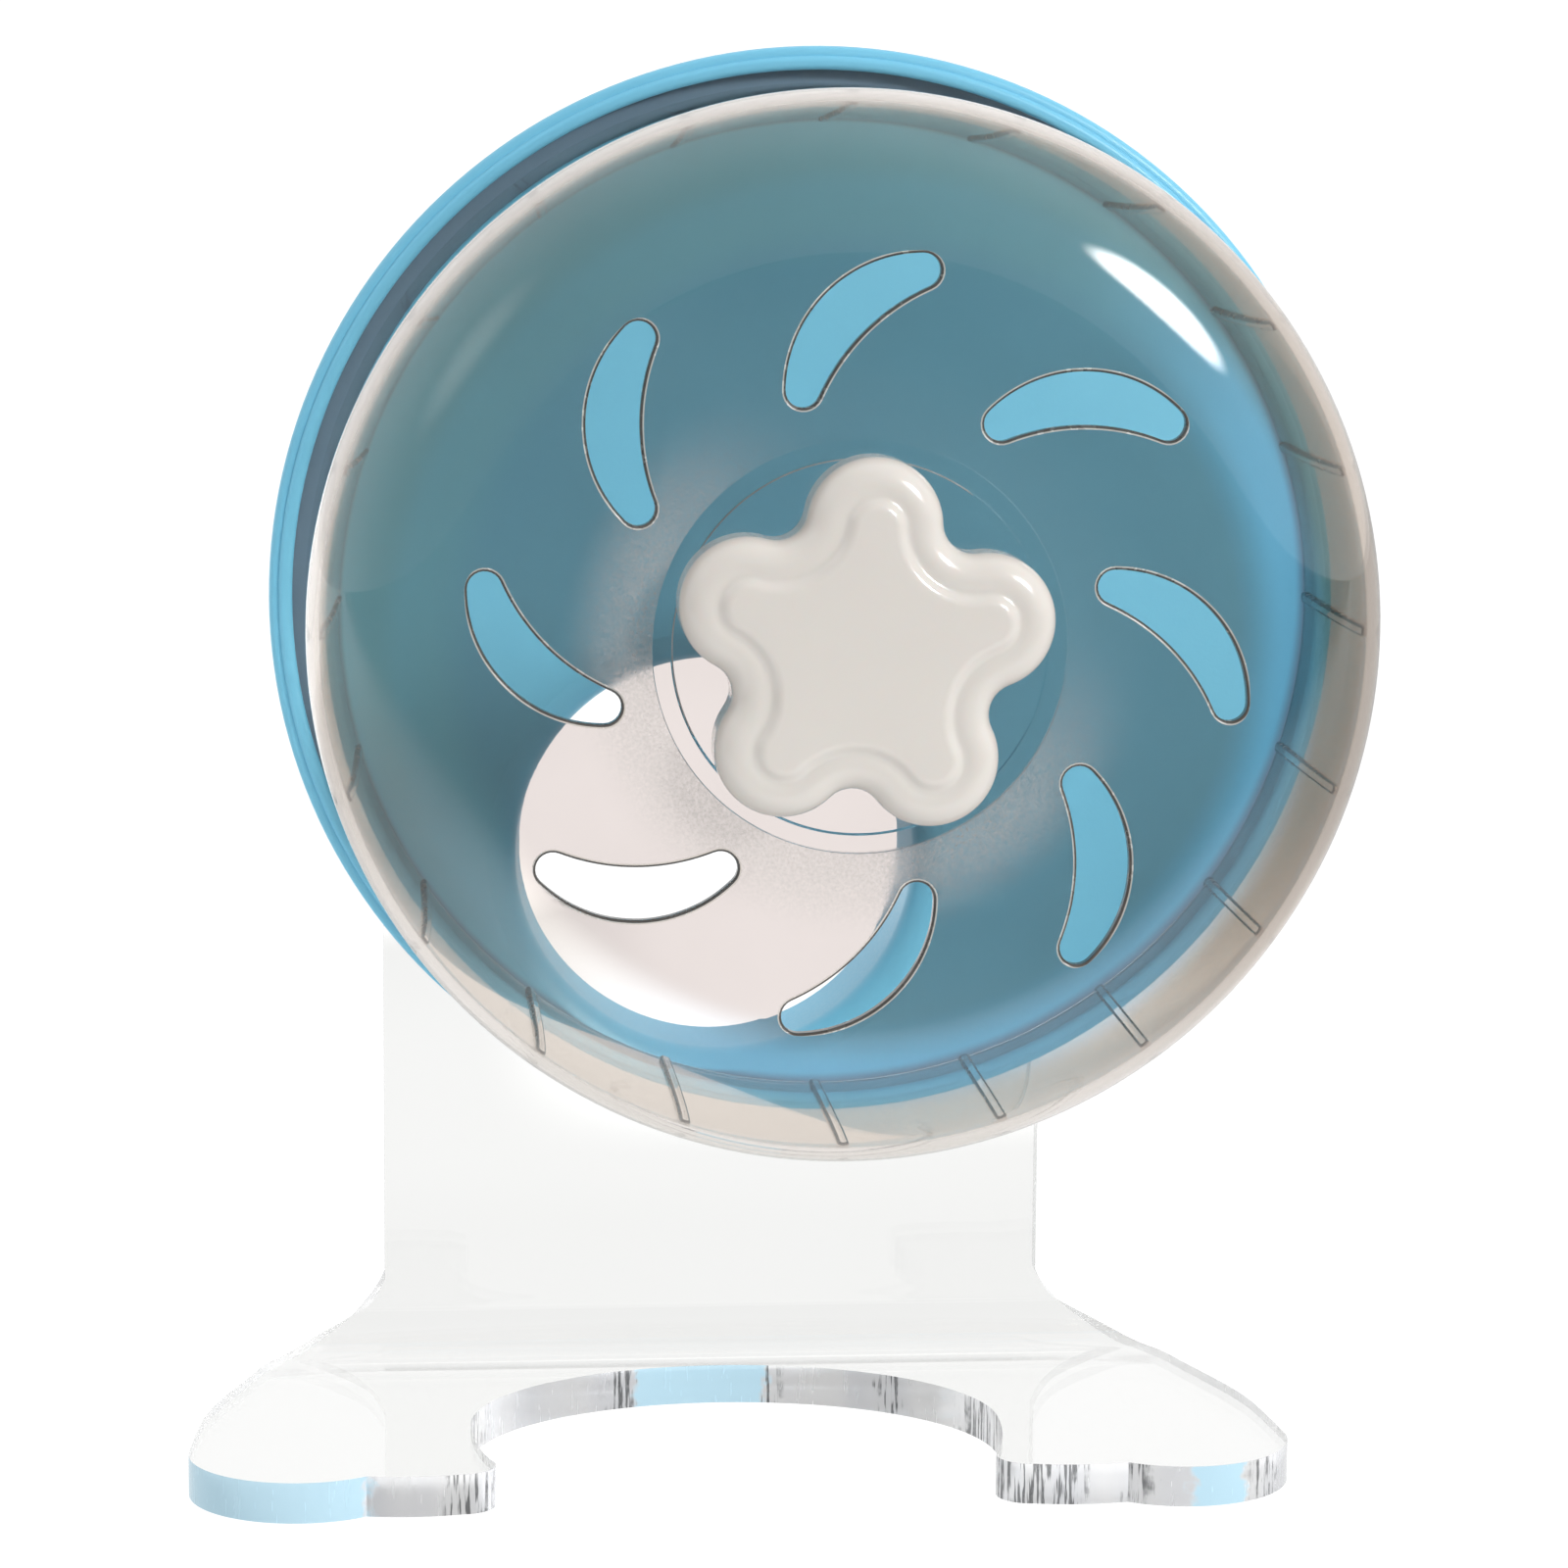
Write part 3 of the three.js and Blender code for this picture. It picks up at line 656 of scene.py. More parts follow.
def smoky_drum():
    material = finish("smoky_plastic", {"IOR": 1.5})
    radius = radius_about(material, axle)
    where = place(material, axle)
    tint, face = drum_tint(material, where, radius)
    frost = drum_frost(material, where, radius)
    # Painted sheen: the whitish band at the rim's upper left, in place of grazing reflection
    painted_sheen = drum_painted_sheen(material, where, radius)
    frosted = blended(material, frost, tint, colour(0.62, 0.59, 0.565))
    link(material, blended(material, painted_sheen, frosted, colour(0.86, 0.83, 0.8)), "Base Color")
    scratch = noise(material, place(material, axle, (420, 30, 40), (0, 0.7, 0)), 1, 3)
    fine = ranged(material, scratch, 0.6, 0.78, 0.015, 0.06)
    link(material, maths(material, "ADD", fine, times(material, frost, 0.25)), "Roughness")
    clear = ranged(material, frost, 0, 1, 1, 0.4, "LINEAR")
    link(material, ranged(material, painted_sheen, 0, 1, clear, 0.4, "LINEAR"), "Transmission Weight")
    bumped(material, times(material, scratch, face), 0.003 * MM)
    lit_through(material, colour(0.97, 0.965, 0.96))
    return material


def smoky_line(name, deep, pale, clear):
    """The drum's plastic along its edges, painted darker than in its faces for painted shade and paler for
    a painted highlight.
    """
    material = finish(name, {"IOR": 1.5, "Transmission Weight": clear})
    wear = noise(material, place(material, axle), 260, 3)
    link(material, blended(material, wear, deep, pale), "Base Color")
    link(material, ranged(material, wear, 0.3, 0.7, 0.12, 0.32), "Roughness")
    lit_through(material, colour(0.97, 0.965, 0.96))
    return material


def moulded(name, deep, pale, roughness, grain=0.02 * MM, extra=None):
    """Moulded plastic: a colour that drifts a little, a fine grain and a satin gloss that varies."""
    material = finish(name, {"IOR": 1.47, **(extra or {})})
    where = place(material)
    drift = noise(material, where, 14, 4)
    link(material, blended(material, drift, deep, pale), "Base Color")
    fine = noise(material, where, 1400, 2)
    rough = ranged(material, fine, 0.3, 0.7, roughness - 0.05, roughness + 0.06)
    link(material, rough, "Roughness")
    bumped(material, fine, grain)
    return material


def shaded_gap(material):
    """Darkens a finish in the gap behind the lip of the housing, where the drum keeps the light out."""
    shader = material.node_tree.nodes["Principled BSDF"]
    plain = shader.inputs["Base Color"].links[0].from_socket
    radius = radius_about(material, axle)
    back = apart(material, place(material, axle))["Y"]
    low = ranged(material, back, -lip_front + 1.2 * MM, -lip_front + 2.4 * MM, 0, 1)
    inside = ranged(material, back, -plate_front + 0.2 * MM, -plate_front + 0.6 * MM, 1, 0)
    wide = ranged(material, radius, drum_radius - 4 * MM, drum_radius - MM, 0, 1)
    lip = ranged(material, radius, lip_inner + 1.8 * MM, lip_inner + 2.1 * MM, 1, 0)
    gap = times(material, low, inside, wide, lip)
    link(material, blended(material, gap, plain, colour(0.13, 0.21, 0.28)), "Base Color")
    return material


def metal(name, deep, pale, roughness, stretch):
    """Turned or plated steel with fine marks round its axis."""
    material = finish(name, {"Metallic": 1})
    marks = noise(material, place(material, axle, stretch), 1, 4)
    link(material, blended(material, marks, deep, pale), "Base Color")
    rough = ranged(material, marks, 0.25, 0.75, roughness - 0.08, roughness + 0.1)
    link(material, rough, "Roughness")
    bumped(material, marks, 0.015 * MM)
    return material


acrylic = clear_sheet()
acrylic_edge = sheet_edges()
smoky = smoky_drum()
# Painted shade and a painted highlight for the drum's edges, in place of how its thickness darkens and
# brightens in the light
smoky_edge_shade = smoky_line("smoky_edge_painted_shade", colour(0.03, 0.027, 0.024), colour(0.09, 0.08, 0.072), 0.2)
smoky_edge_highlight = smoky_line("smoky_edge_painted_highlight", colour(0.42, 0.38, 0.34), colour(0.66, 0.62, 0.57), 0.3)
blue_tones = (colour(0.155, 0.49, 0.69), colour(0.18, 0.535, 0.735))
blue = moulded("blue_plastic", *blue_tones, 0.36)
housing_blue = shaded_gap(moulded("blue_housing_plastic", *blue_tones, 0.36))
white = moulded(
    "white_plastic",
    colour(0.6, 0.565, 0.525),
    colour(0.65, 0.62, 0.58),
    0.2,
    0.006 * MM,
    {"Coat Weight": 0.6, "Coat Roughness": 0.05, "Subsurface Weight": 0.08, "Subsurface Scale": 2 * MM},
)
rubber = moulded("soft_rubber", colour(0.1, 0.14, 0.15), colour(0.13, 0.17, 0.185), 0.72, 0.05 * MM)
grey = moulded("grey_plastic", colour(0.56, 0.57, 0.58), colour(0.63, 0.64, 0.65), 0.42)
zinc = metal("zinc_steel", colour(0.52, 0.54, 0.56), colour(0.68, 0.7, 0.71), 0.32, (500, 500, 500))
bright = metal("bearing_steel", colour(0.66, 0.67, 0.68), colour(0.78, 0.79, 0.8), 0.2, (90, 2500, 90))


def dressed(piece, body, slot, material, *nodes):
    """Gives a piece its finish and its body, and hides the nodes that it stands for."""
    piece.data.materials.clear()
    piece.data.materials.append(material)
    piece.data.name = piece.name
    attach(piece, body)
    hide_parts(*nodes)


# Clear stand

bend_top = sheet + bend_radius
bend_length = quarter * (bend_radius + sheet / 2)
flare_points = [
    (-flare_rise, upright_half),
    (0, upright_half + flare_start),
    (bend_length / 2, bend_half),
    (bend_length, knee_half),
    (bend_length + shoulder_run, shoulder_half),
    (bend_length + flank_run, flank_half),
    (bend_length + foot_reach - bend_radius - outer_toe, foot_half),
]


def flare(steps):
    """Rows of the sheet, (length from the top of the bend, half width), on a smooth curve."""
    rows = []
    last = len(flare_points) - 1
    for i in range(last * steps + 1):
        span = min(i // steps, last - 1)
        t = i / steps - span
        p = [Vector(flare_points[min(max(span + k, 0), last)]) for k in (-1, 0, 1, 2)]
        leave, meet = (p[2] - p[0]) / 2, (p[3] - p[1]) / 2
        curve = (2 * (p[1] - p[2]) + leave + meet) * t**3
        curve += (3 * (p[2] - p[1]) - 2 * leave - meet) * t**2 + leave * t + p[1]
        rows.append(tuple(curve))
    return rows


def on_sheet(length):
    """The place in the middle of the sheet's thickness at a length along it, as (y, z)."""
    centre_y = upright_front - bend_radius
    middle = sheet / 2
    if length <= 0:
        return upright_front + middle, bend_top - length
    if length >= bend_length:
        return centre_y - (length - bend_length), sheet - middle
    turn = quarter * length / bend_length
    radius = bend_radius + middle
    return centre_y + radius * math.cos(turn), bend_top - radius * math.sin(turn)


def toes():
    """What is cut from the front of the base, as (x, ahead): round the toes and between the feet."""
    toe_x = foot_half - outer_toe
    toe_ahead = foot_reach - outer_toe
    notch_turn = math.acos((notch_half - toe_x) / outer_toe)
    inner_x = toe_gap_half + inner_toe
    wide = foot_half + cut_margin
    middle = bend_radius + bridge_depth + cutout_depth
    toe = arc(toe_x, toe_ahead, outer_toe, 0, notch_turn)
    inner_end = (inner_x, inner_toe_reach)
    scallop = bow(toe[-1], ((notch_half + inner_x) / 2, inner_toe_reach + scallop_rise), inner_end)
    hook = arc(inner_x, inner_toe_reach - inner_toe, inner_toe, quarter, quarter + inner_toe_turn)
    pull = (cutout_half, (middle + inner_toe_reach - inner_toe) / 2)
    side = bow(hook[-1], pull, (cutout_half, middle))
    bridge = arc(0, middle, cutout_half, 0, -quarter, cutout_depth)
    right = [(wide, foot_reach + 2 * cut_margin), (wide, toe_ahead)]
    right = tidy(right + toe + scallop + hook + side + bridge)
    return right + [(-x, d) for x, d in reversed(right[:-1])]


def bent_stand():
    top = (bend_top - collar.z - upright_half, upright_half)
    front = (bend_length + foot_reach - bend_radius + cut_margin, foot_half)
    rows = [top, *flare(10), front]
    y, z = on_sheet(rows[0][0])
    stand = drawn("clear_stand", [Vector((-rows[0][1], y, z)), Vector((rows[0][1], y, z))])
    for (length, half), (before, half_before) in zip(rows[1:], rows):
        step = Vector((0, *on_sheet(length))) - Vector((0, *on_sheet(before)))
        bpy.ops.mesh.extrude_edges_move(TRANSFORM_OT_translate={"value": step})
        bpy.ops.transform.resize(value=(half / half_before, 1, 1))
    close_shell()
    wall = stand.modifiers.new("thickness", "SOLIDIFY")
    wall.thickness = sheet
    wall.offset = 0
    wall.use_even_offset = True
    settle(stand, wall)
    shoulder = upright_half + cut_margin
    top_cut = [(shoulder, 0), (shoulder, shoulder), (-shoulder, shoulder), (-shoulder, 0)]
    top_cut += arc(0, 0, upright_half, math.pi, 0)
    behind = -sheet - cut_margin
    cut(stand, slab("top_cut", top_cut, behind, cut_margin, collar))
    hole = [(0, behind), (collar_bore, behind), (collar_bore, cut_margin), (0, cut_margin)]
    cut(stand, turned("collar_hole", hole, collar, collar_steps))
    toe_cut = drawn("toe_cut", [Vector((x, upright_front - d, -cut_margin)) for x, d in toes()])
    push_out((0, 0, sheet + 2 * cut_margin))
    cut(stand, toe_cut)
    softened(stand, sheet_edge)
    smoothed(stand)
    dressed(stand, "stand", "clear_acrylic", acrylic, "acrylic_stand")
    stand.data.materials.append(acrylic_edge)
    bend_axis = Vector((0, upright_front - bend_radius, bend_top))
    for face in stand.data.polygons:
        from_bend = face.center - bend_axis
        if from_bend.z > 0:
            across = Vector((0, 1, 0))
        elif from_bend.y < 0:
            across = Vector((0, 0, 1))
        else:
            across = Vector((0, from_bend.y, from_bend.z)).normalized()
        face.material_index = int(abs(face.normal.dot(across)) < edge_slope)


bent_stand()

# Housing, with its collar


def dish():
    corner_r = belly_radius - housing_corner
    corner_d = plate_back + housing_corner
    lip_outer = lip_inner + lip_wall
    belly_inner = belly_radius - plate_wall
    outline = [(0, plate_back)]
    outline += arc(corner_r, corner_d, housing_corner, -quarter, 0)
    shoulder = (belly_radius, (corner_d + 2 * lip_front) / 3)
    outline += bow(outline[-1], shoulder, (lip_outer, lip_front - lip_round))
    outline += arc(lip_outer - lip_round, lip_front - lip_round, lip_round, 0, quarter)
    outline += arc(lip_inner + lip_round, lip_front - lip_round, lip_round, quarter, 2 * quarter)
    land = (lip_inner, lip_front - lip_land)
    outline += bow(land, (belly_inner, (corner_d + lip_front) / 2), (belly_inner, corner_d))
    outline += arc(corner_r, corner_d, housing_corner - plate_wall, 0, -quarter)
    foot = (boss_radius + boss_fillet, plate_front + boss_fillet)
    outline += arc(*foot, boss_fillet, -quarter, -2 * quarter)
    top = boss_radius - boss_draft - boss_edge
    outline += arc(top, boss_front - boss_edge, boss_edge, 0, quarter)
    outline += [(0, boss_front)]
    return outline


def throat():
    wide = throat_radius + throat_taper
    mouth = plate_front - mouth_depth + overlap
    behind = collar_back - cut_margin
    outline = [(0, behind), (throat_radius + 2 * collar_edge, behind)]
    edge_middle = (throat_radius + collar_edge, collar_back + collar_edge - overlap)
    outline += arc(*edge_middle, collar_edge, -quarter, -math.pi)
    outline += arc(wide + mouth_flare, mouth, mouth_flare, math.pi, quarter, mouth_depth)
    outline += [(wide + mouth_flare, plate_front + housing_corner), (0, plate_front + housing_corner)]
    return outline


def hexagon(name, radius, back, front):
    corners = [(radius * math.sin(i * math.pi / 3), radius * math.cos(i * math.pi / 3)) for i in range(6)]
    return slab(name, corners, back, front)


def rod(name, radius, back, front, centre=axle, steps=hub_steps):
    return turned(name, [(0, back), (radius, back), (radius, front), (0, front)], centre, steps)


def back_housing():
    housing = turned("blue_housing", dish(), axle, wide_steps)
    tube = [(0, collar_back), (collar_radius - collar_edge, collar_back)]
    tube += [(collar_radius, collar_back + collar_edge)]
    tube_front = plate_back + plate_wall / 2
    tube += [(collar_radius, tube_front), (0, tube_front)]
    joined(housing, turned("collar_tube", tube, collar, collar_steps))
    cut(housing, turned("throat", throat(), collar, collar_steps))
    pocket_front = plate_back + bolt_head + 2 * seat_gap
    cut(housing, hexagon("bolt_pocket", hex_radius + seat_gap, plate_back - cut_margin, pocket_front))
    cut(housing, rod("axle_hole", race_bore, plate_front, boss_front + cut_margin))
    smoothed(housing)
    dressed(housing, "housing", "blue_plastic", housing_blue, "back_housing")


back_housing()


def clamp_ring():
    steps = grip_count * grip_steps
    turns = [2 * math.pi * i / steps for i in range(steps)]
    rim = [(ring_radius - grip_depth / 2 * (1 - math.cos(grip_count * t)), t) for t in turns]
    outline = [(r * math.cos(t), r * math.sin(t)) for r, t in rim]
    clamp = slab("blue_clamp_ring", outline, ring_back, ring_front, collar)
    behind, ahead = ring_back - cut_margin, ring_front + cut_margin
    cut(clamp, rod("ring_bore", collar_bore, behind, ahead, collar, collar_steps))
    softened(clamp, grip_edge, 60, 3)
    smoothed(clamp)
    dressed(clamp, "clamp", "blue_plastic", blue, "clamp_ring")


clamp_ring()


def ring(name, inner, outer, back, front, edge, centre=axle, steps=hub_steps):
    """A ring with rounded edges."""
    outline = rounded((inner, back, edge), (outer, back, edge), (outer, front, edge), (inner, front, edge))
    return smoothed(turned(name, outline, centre, steps))


gasket_sizes = (collar_bore, gasket_radius, gasket_back, gasket_front, gasket_edge)
gasket = ring("rubber_gasket", *gasket_sizes, collar, collar_steps)
dressed(gasket, "housing", "soft_rubber", rubber, "collar_gasket")

# Drum


def drum_outline():
    inner = drum_radius - drum_wall
    round_d = drum_front - drum_round

    def shoulder(radius, front):
        """From the wall at a radius to the face at a distance ahead."""
        wall = [(radius, round_d), (radius, front - shoulder_drop)]
        return bow(*wall, (shoulder_pull, front), (shoulder_start, front), steps=shoulder_steps)

    outline = arc(drum_radius - drum_edge, drum_back + drum_edge, drum_edge, -quarter, 0)
    outline += shoulder(drum_radius, drum_front)
    step_front = drum_front - disc_step
    outline += [(clear_disc + disc_step, drum_front), (clear_disc, step_front)]
    half = groove_width / 2
    outline += [(ring_groove + half, step_front), (ring_groove, step_front - half)]
    outline += [(ring_groove - half, step_front), (face_bore + bore_edge, step_front)]
    outline += [(face_bore, step_front - bore_edge), (face_bore, face_back)]
    outline += reversed(shoulder(inner, face_back))
    outline += arc(inner + drum_edge, drum_back + drum_edge, drum_edge, math.pi, math.pi + quarter)
    return outline


def crescent(grow=0):
    """The crescent's outline with its round ends blended into both of its long sides, grown by a margin."""
    half = slot_chord / 2
    end = slot_end + grow
    radius = (half**2 + slot_bulge**2) / (2 * slot_bulge)
    sweep = math.asin(half / radius)
    outline = arc(0, slot_bulge - radius, radius + end, quarter - sweep, quarter + sweep)
    hollow = (half**2 + slot_hollow**2) / (2 * slot_hollow)
    bend = math.asin(half / hollow)
    outline += arc(-half, 0, end, quarter + sweep, quarter + bend + math.pi)
    outline += arc(0, slot_hollow - hollow, hollow - end, quarter + bend, quarter - bend)
    outline += arc(half, 0, end, -quarter - bend, quarter - sweep)
    slant = Matrix.Rotation(slot_slant, 2)
    return [tuple(slant @ Vector(p) + Vector((0, slot_middle))) for p in tidy(outline)]


def vent():
    """What is cut from the face for one vent, wider in front by the round of its edge."""
    cutter = slab("vent", crescent(slot_round), drum_front, drum_front + MM)
    open_faces(cutter, lambda face: face.normal.y > 0.9)
    steps = 4
    turns = [quarter * i / steps for i in range(steps + 1)]
    for before, turn in zip(turns, turns[1:]):
        inset = slot_round * (math.sin(turn) - math.sin(before))
        depth = slot_round * (math.cos(before) - math.cos(turn))
        bpy.ops.mesh.inset(thickness=inset, depth=depth, use_even_offset=True)
    bpy.ops.mesh.extrude_region_move(TRANSFORM_OT_translate={"value": (0, drum_wall - slot_round + MM, 0)})
    leave()
    return cutter


def rungs():
    """Low ridges with round ends, all along the inside of the running wall."""
    half = rung_width / 2
    base = axle.z + drum_radius - drum_wall / 2
    top = axle.z + drum_radius - drum_wall - rung_rise
    back = drum_back + rung_setback + half
    outline = arc(0, back, half, -math.pi, 0) + arc(0, back + rung_length - rung_width, half, 0, math.pi)
    points = [Vector((axle.x + x, upright_front - d, base)) for x, d in tidy(outline)]
    rung = drawn("rung", points + points[:1])
    push_out((0, 0, top - base))
    softened(rung, rung_edge, 60, 3)
    return repeated(rung, rung_count)


def flat_shaded(piece):
    """Keeps the flat faces of the drum free of the shading of the edges beside them."""
    mesh = piece.data
    normals = [Vector(normal.vector) for normal in mesh.corner_normals]
    for face in mesh.polygons:
        if abs(face.normal.y) > 0.99999:
            for corner in face.loop_indices:
                normals[corner] = face.normal.copy()
    mesh.normals_split_custom_set(normals)


def painted_edge_light(drum):
    """Dark painted shade and a pale painted highlight on the vents' edges, and dark painted shade on the
    sides of the rungs.
    """
    for material in (smoky_edge_shade, smoky_edge_highlight):
        drum.data.materials.append(material)
    vents_end = shoulder_start + 3 * MM
    wall_inner = drum_radius - drum_wall - 0.1 * MM
    rung_front = drum_back + rung_setback + rung_length + MM
    for face in drum.data.polygons:
        away = from_axle(face.center)
        ahead = upright_front - face.center.y
        slope = abs(face.normal.y)
        # A vent's flatter rounded lip gets the painted highlight, its steeper wall the painted shade
        if clear_disc + MM < away < vents_end and ahead > face_back - MM and slope < flat_slope:
            face.material_index = 2 if slope > pale_slope else 1
        elif wall_inner - rung_rise < away < wall_inner and ahead < rung_front:
            out = Vector((face.center.x - axle.x, 0, face.center.z - axle.z)) / away
            # The rungs' sides get the painted shade
            face.material_index = int(abs(face.normal.dot(out)) < rung_slope)


def screw_holes(back, front):
    """What is cut for the hub's screws, between the upright and the level directions."""
    side = screw_circle * math.sin(math.pi / screw_count)
    middle = axle + Vector((side, 0, side))
    return repeated(rod("screw_hole", screw_hole, back, front, middle, screw_steps), screw_count)


def running_drum():
    drum = turned("smoky_drum", drum_outline(), axle, wide_steps)
    joined(drum, rungs())
    cut(drum, repeated(vent(), slot_count))
    cut(drum, screw_holes(face_back - MM, drum_front + MM))
    smoothed(drum)
    flat_shaded(drum)
    dressed(drum, "wheel", "smoky_plastic", smoky, "running_drum")
    painted_edge_light(drum)


running_drum()

# Flower cap


def flower(inset):
    """Round petals joined by round valleys, drawn inwards by a margin."""
    centre = petal_tip - petal_radius
    step = math.pi / petal_count
    along, aside = centre * math.cos(step), centre * math.sin(step)
    depth = petal_valley - along
    valley = (depth**2 + aside**2 - petal_radius**2) / (2 * (petal_radius - depth))
    dip = along + math.sqrt((petal_radius + valley) ** 2 - aside**2)
    swing = math.atan2(dip * math.sin(step), dip * math.cos(step) - centre)
    outline = []
    for i in range(petal_count):
        turn = 2 * step * i + petal_turn + quarter
        petal = (centre * math.cos(turn), centre * math.sin(turn))
        outline += arc(*petal, petal_radius - inset, turn - swing, turn + swing)
        between = turn + step
        notch = (dip * math.cos(between), dip * math.sin(between))
        start, end = turn + swing + math.pi, turn + 2 * step - swing + math.pi
        outline += arc(*notch, valley + inset, start, end)
    return tidy(outline)


def flower_cap():
    crest = cap_front - panel_rise
    side = crest - cap_round
    cap = slab("white_flower_cap", flower(0), cap_back, side)
    open_faces(cap, lambda face: face.normal.y < -0.9)
    steps = 14
    turns = [quarter * i / steps for i in range(steps + 1)]
    profile = [(cap_round * (1 - math.cos(t)), side + cap_round * math.sin(t)) for t in turns]
    profile += [(inset * MM, crest + rise * MM) for inset, rise in cap_crease + cap_shoulder]
    for (inset, ahead), (inset_before, ahead_before) in zip(profile[1:], profile):
        bpy.ops.mesh.inset(thickness=inset - inset_before, depth=ahead - ahead_before, use_even_offset=True)
    bpy.ops.mesh.poke(offset=panel_crown)
    leave()
    cut(cap, slab("hollow", flower(cap_wall), cap_back - cut_margin, cap_roof - panel_rise - MM))
    plug_radius = bearing_seat - seat_gap
    plug_back = reach("hub_carrier")[1] - plug_depth
    joined(cap, ring("plug", plug_radius - plug_wall, plug_radius, plug_back, cap_roof, plug_edge))
    smoothed(cap, 40)
    dressed(cap, "wheel", "white_plastic", white, "flower_cap")


flower_cap()

# Hub carrier, axle and bearings


def hub_carrier():
    back, front, flange = reach("hub_carrier")
    barrel = bearing_seat + barrel_wall
    neck = bearing_seat + neck_wall
    shoulder = bearing_seat - seat_step
    rear_end = reach("rear_outer_race")[1] + seat_gap
    front_start = reach("front_outer_race")[0] - seat_gap
    flange_front = face_back - seat_gap
    edge = carrier_edge
    outline = rounded(
        (bearing_seat, back, edge),
        (barrel, back, edge),
        (barrel, flange_back, flange_fillet),
        (flange, flange_back, edge),
        (flange, flange_front, edge),
        (neck, flange_front, 0),
        (neck, front, edge),
        (bearing_seat, front, edge),
        (bearing_seat, front_start, 0),
        (shoulder, front_start, 0),
        (shoulder, rear_end, 0),
        (bearing_seat, rear_end, 0),
    )
    carrier = turned("grey_hub_carrier", outline)
    cut(carrier, screw_holes(flange_back - MM, flange_front + MM))
    smoothed(carrier)
    dressed(carrier, "wheel", "grey_plastic", grey, "hub_carrier")


hub_carrier()


def chamfered_hex(name, back, front):
    """A hexagon whose corners are turned off at both ends."""
    flat = hex_radius * math.cos(math.pi / 6) - overlap
    edge = (hex_radius - flat) * math.tan(math.radians(30)) * 1.2
    piece = hexagon(name, hex_radius, back, front)
    cone = [(0, back), (flat, back), (hex_radius, back + edge)]
    cone += [(hex_radius, front - edge), (flat, front), (0, front)]
    return joined(piece, turned("corner_cone", cone), "INTERSECT")


def nut(name, source):
    back, front, _ = reach(source)
    piece = chamfered_hex(name, back, front)
    wide = race_bore + nut_cone + MM
    bore = [(0, back - MM), (wide, back - MM), (race_bore, back + nut_cone)]
    bore += [(race_bore, front - nut_cone), (wide, front + MM), (0, front + MM)]
    cut(piece, turned("nut_bore", bore))
    smoothed(piece)
    dressed(piece, "housing", "zinc_steel", zinc, source)


def axle_bolt():
    back, front, _ = reach("axle_bolt")
    head_front = back + bolt_head
    bolt = chamfered_hex("axle_bolt_steel", back, head_front)
    shank = [(0, head_front - MM), (axle_radius, head_front - MM), (axle_radius, front - bolt_point)]
    shank += [(axle_radius - bolt_point, front), (0, front)]
    joined(bolt, turned("shank", shank))
    dimple = [(0, back - MM), (dimple_top, back - MM)]
    dimple += [(dimple_foot, back + dimple_depth), (0, back + dimple_middle)]
    cut(bolt, turned("dimple", dimple))
    smoothed(bolt)
    dressed(bolt, "housing", "zinc_steel", zinc, "axle_bolt")


axle_bolt()
nut("jam_nut_steel", "jam_nut")
nut("lock_nut_steel", "lock_nut")
for source in ("boss_washer", "axle_washer", "rear_spacer", "middle_spacer"):
    back, front, radius = reach(source)
    edge = washer_edge if source.endswith("washer") else spacer_edge
    sleeve = ring(source + "_steel", race_bore, radius, back, front, edge)
    dressed(sleeve, "housing", "zinc_steel", zinc, source)


def bearing(side):
    back, front, outer = reach(side + "_outer_race")
    shield_1 = side + "_bearing_shield_1"
    shield_2 = side + "_bearing_shield_2"
    shield_radius = reach(shield_1)[2] + seat_gap
    ball_half = reach(side + "_ball_1")[2]
    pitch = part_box(side + "_ball_1")[1].z - axle.z - ball_half
    groove = ball_half + groove_gap
    shoulder = shoulder_share * ball_half
    middle = (back + front) / 2
    half = math.acos(shoulder / groove)
    edge = race_edge
    inner = arc(race_bore + edge, back + edge, edge, math.pi, math.pi * 1.5)
    inner += [(pitch - shoulder, back)]
    inner += arc(pitch, middle, groove, math.pi + half, math.pi - half)
    inner += [(pitch - shoulder, front)]
    inner += arc(race_bore + edge, front - edge, edge, quarter, math.pi)
    race = smoothed(turned(side + "_inner_race_steel", inner))
    dressed(race, "housing", "bearing_steel", bright, side + "_inner_race")
    rebate_back = reach(shield_1)[1] + seat_gap
    rebate_front = reach(shield_2)[0] - seat_gap
    outline = arc(outer - edge, back + edge, edge, -quarter, 0)
    outline += arc(outer - edge, front - edge, edge, 0, quarter)
    outline += [(shield_radius, front), (shield_radius, rebate_front), (pitch + shoulder, rebate_front)]
    outline += arc(pitch, middle, groove, half, -half)
    outline += [(pitch + shoulder, rebate_back), (shield_radius, rebate_back), (shield_radius, back)]
    race = smoothed(turned(side + "_outer_race_steel", outline))
    dressed(race, "wheel", "bearing_steel", bright, side + "_outer_race")
    for source in (shield_1, shield_2):
        near, far, radius = reach(source)
        bore = pitch - shoulder + seat_gap
        shield = ring(source + "_steel", bore, radius, near, far, shield_edge)
        dressed(shield, "wheel", "bearing_steel", bright, source)


for side in ("rear", "front"):
    bearing(side)

# Nodes whose shape is right keep it
for name, piece in frame["nodes"].items():
    if not piece.hide_render:
        piece.data.materials.clear()
        piece.data.materials.append(zinc if name.startswith("hub_screw") else bright)

# Floor, light and camera

floor_white = 1.1
wall_white = 1.1
wall_dim = 0.42
lamp_aim = Vector((0, 0, 0.15))
viewer_place = Vector((-0.084577, -1.048766, 0.288112))
viewer_aim = Vector((0.09185, 0.98463, -0.14856)).normalized()
viewer_roll = math.radians(-0.431)
viewer_lens = 118.57


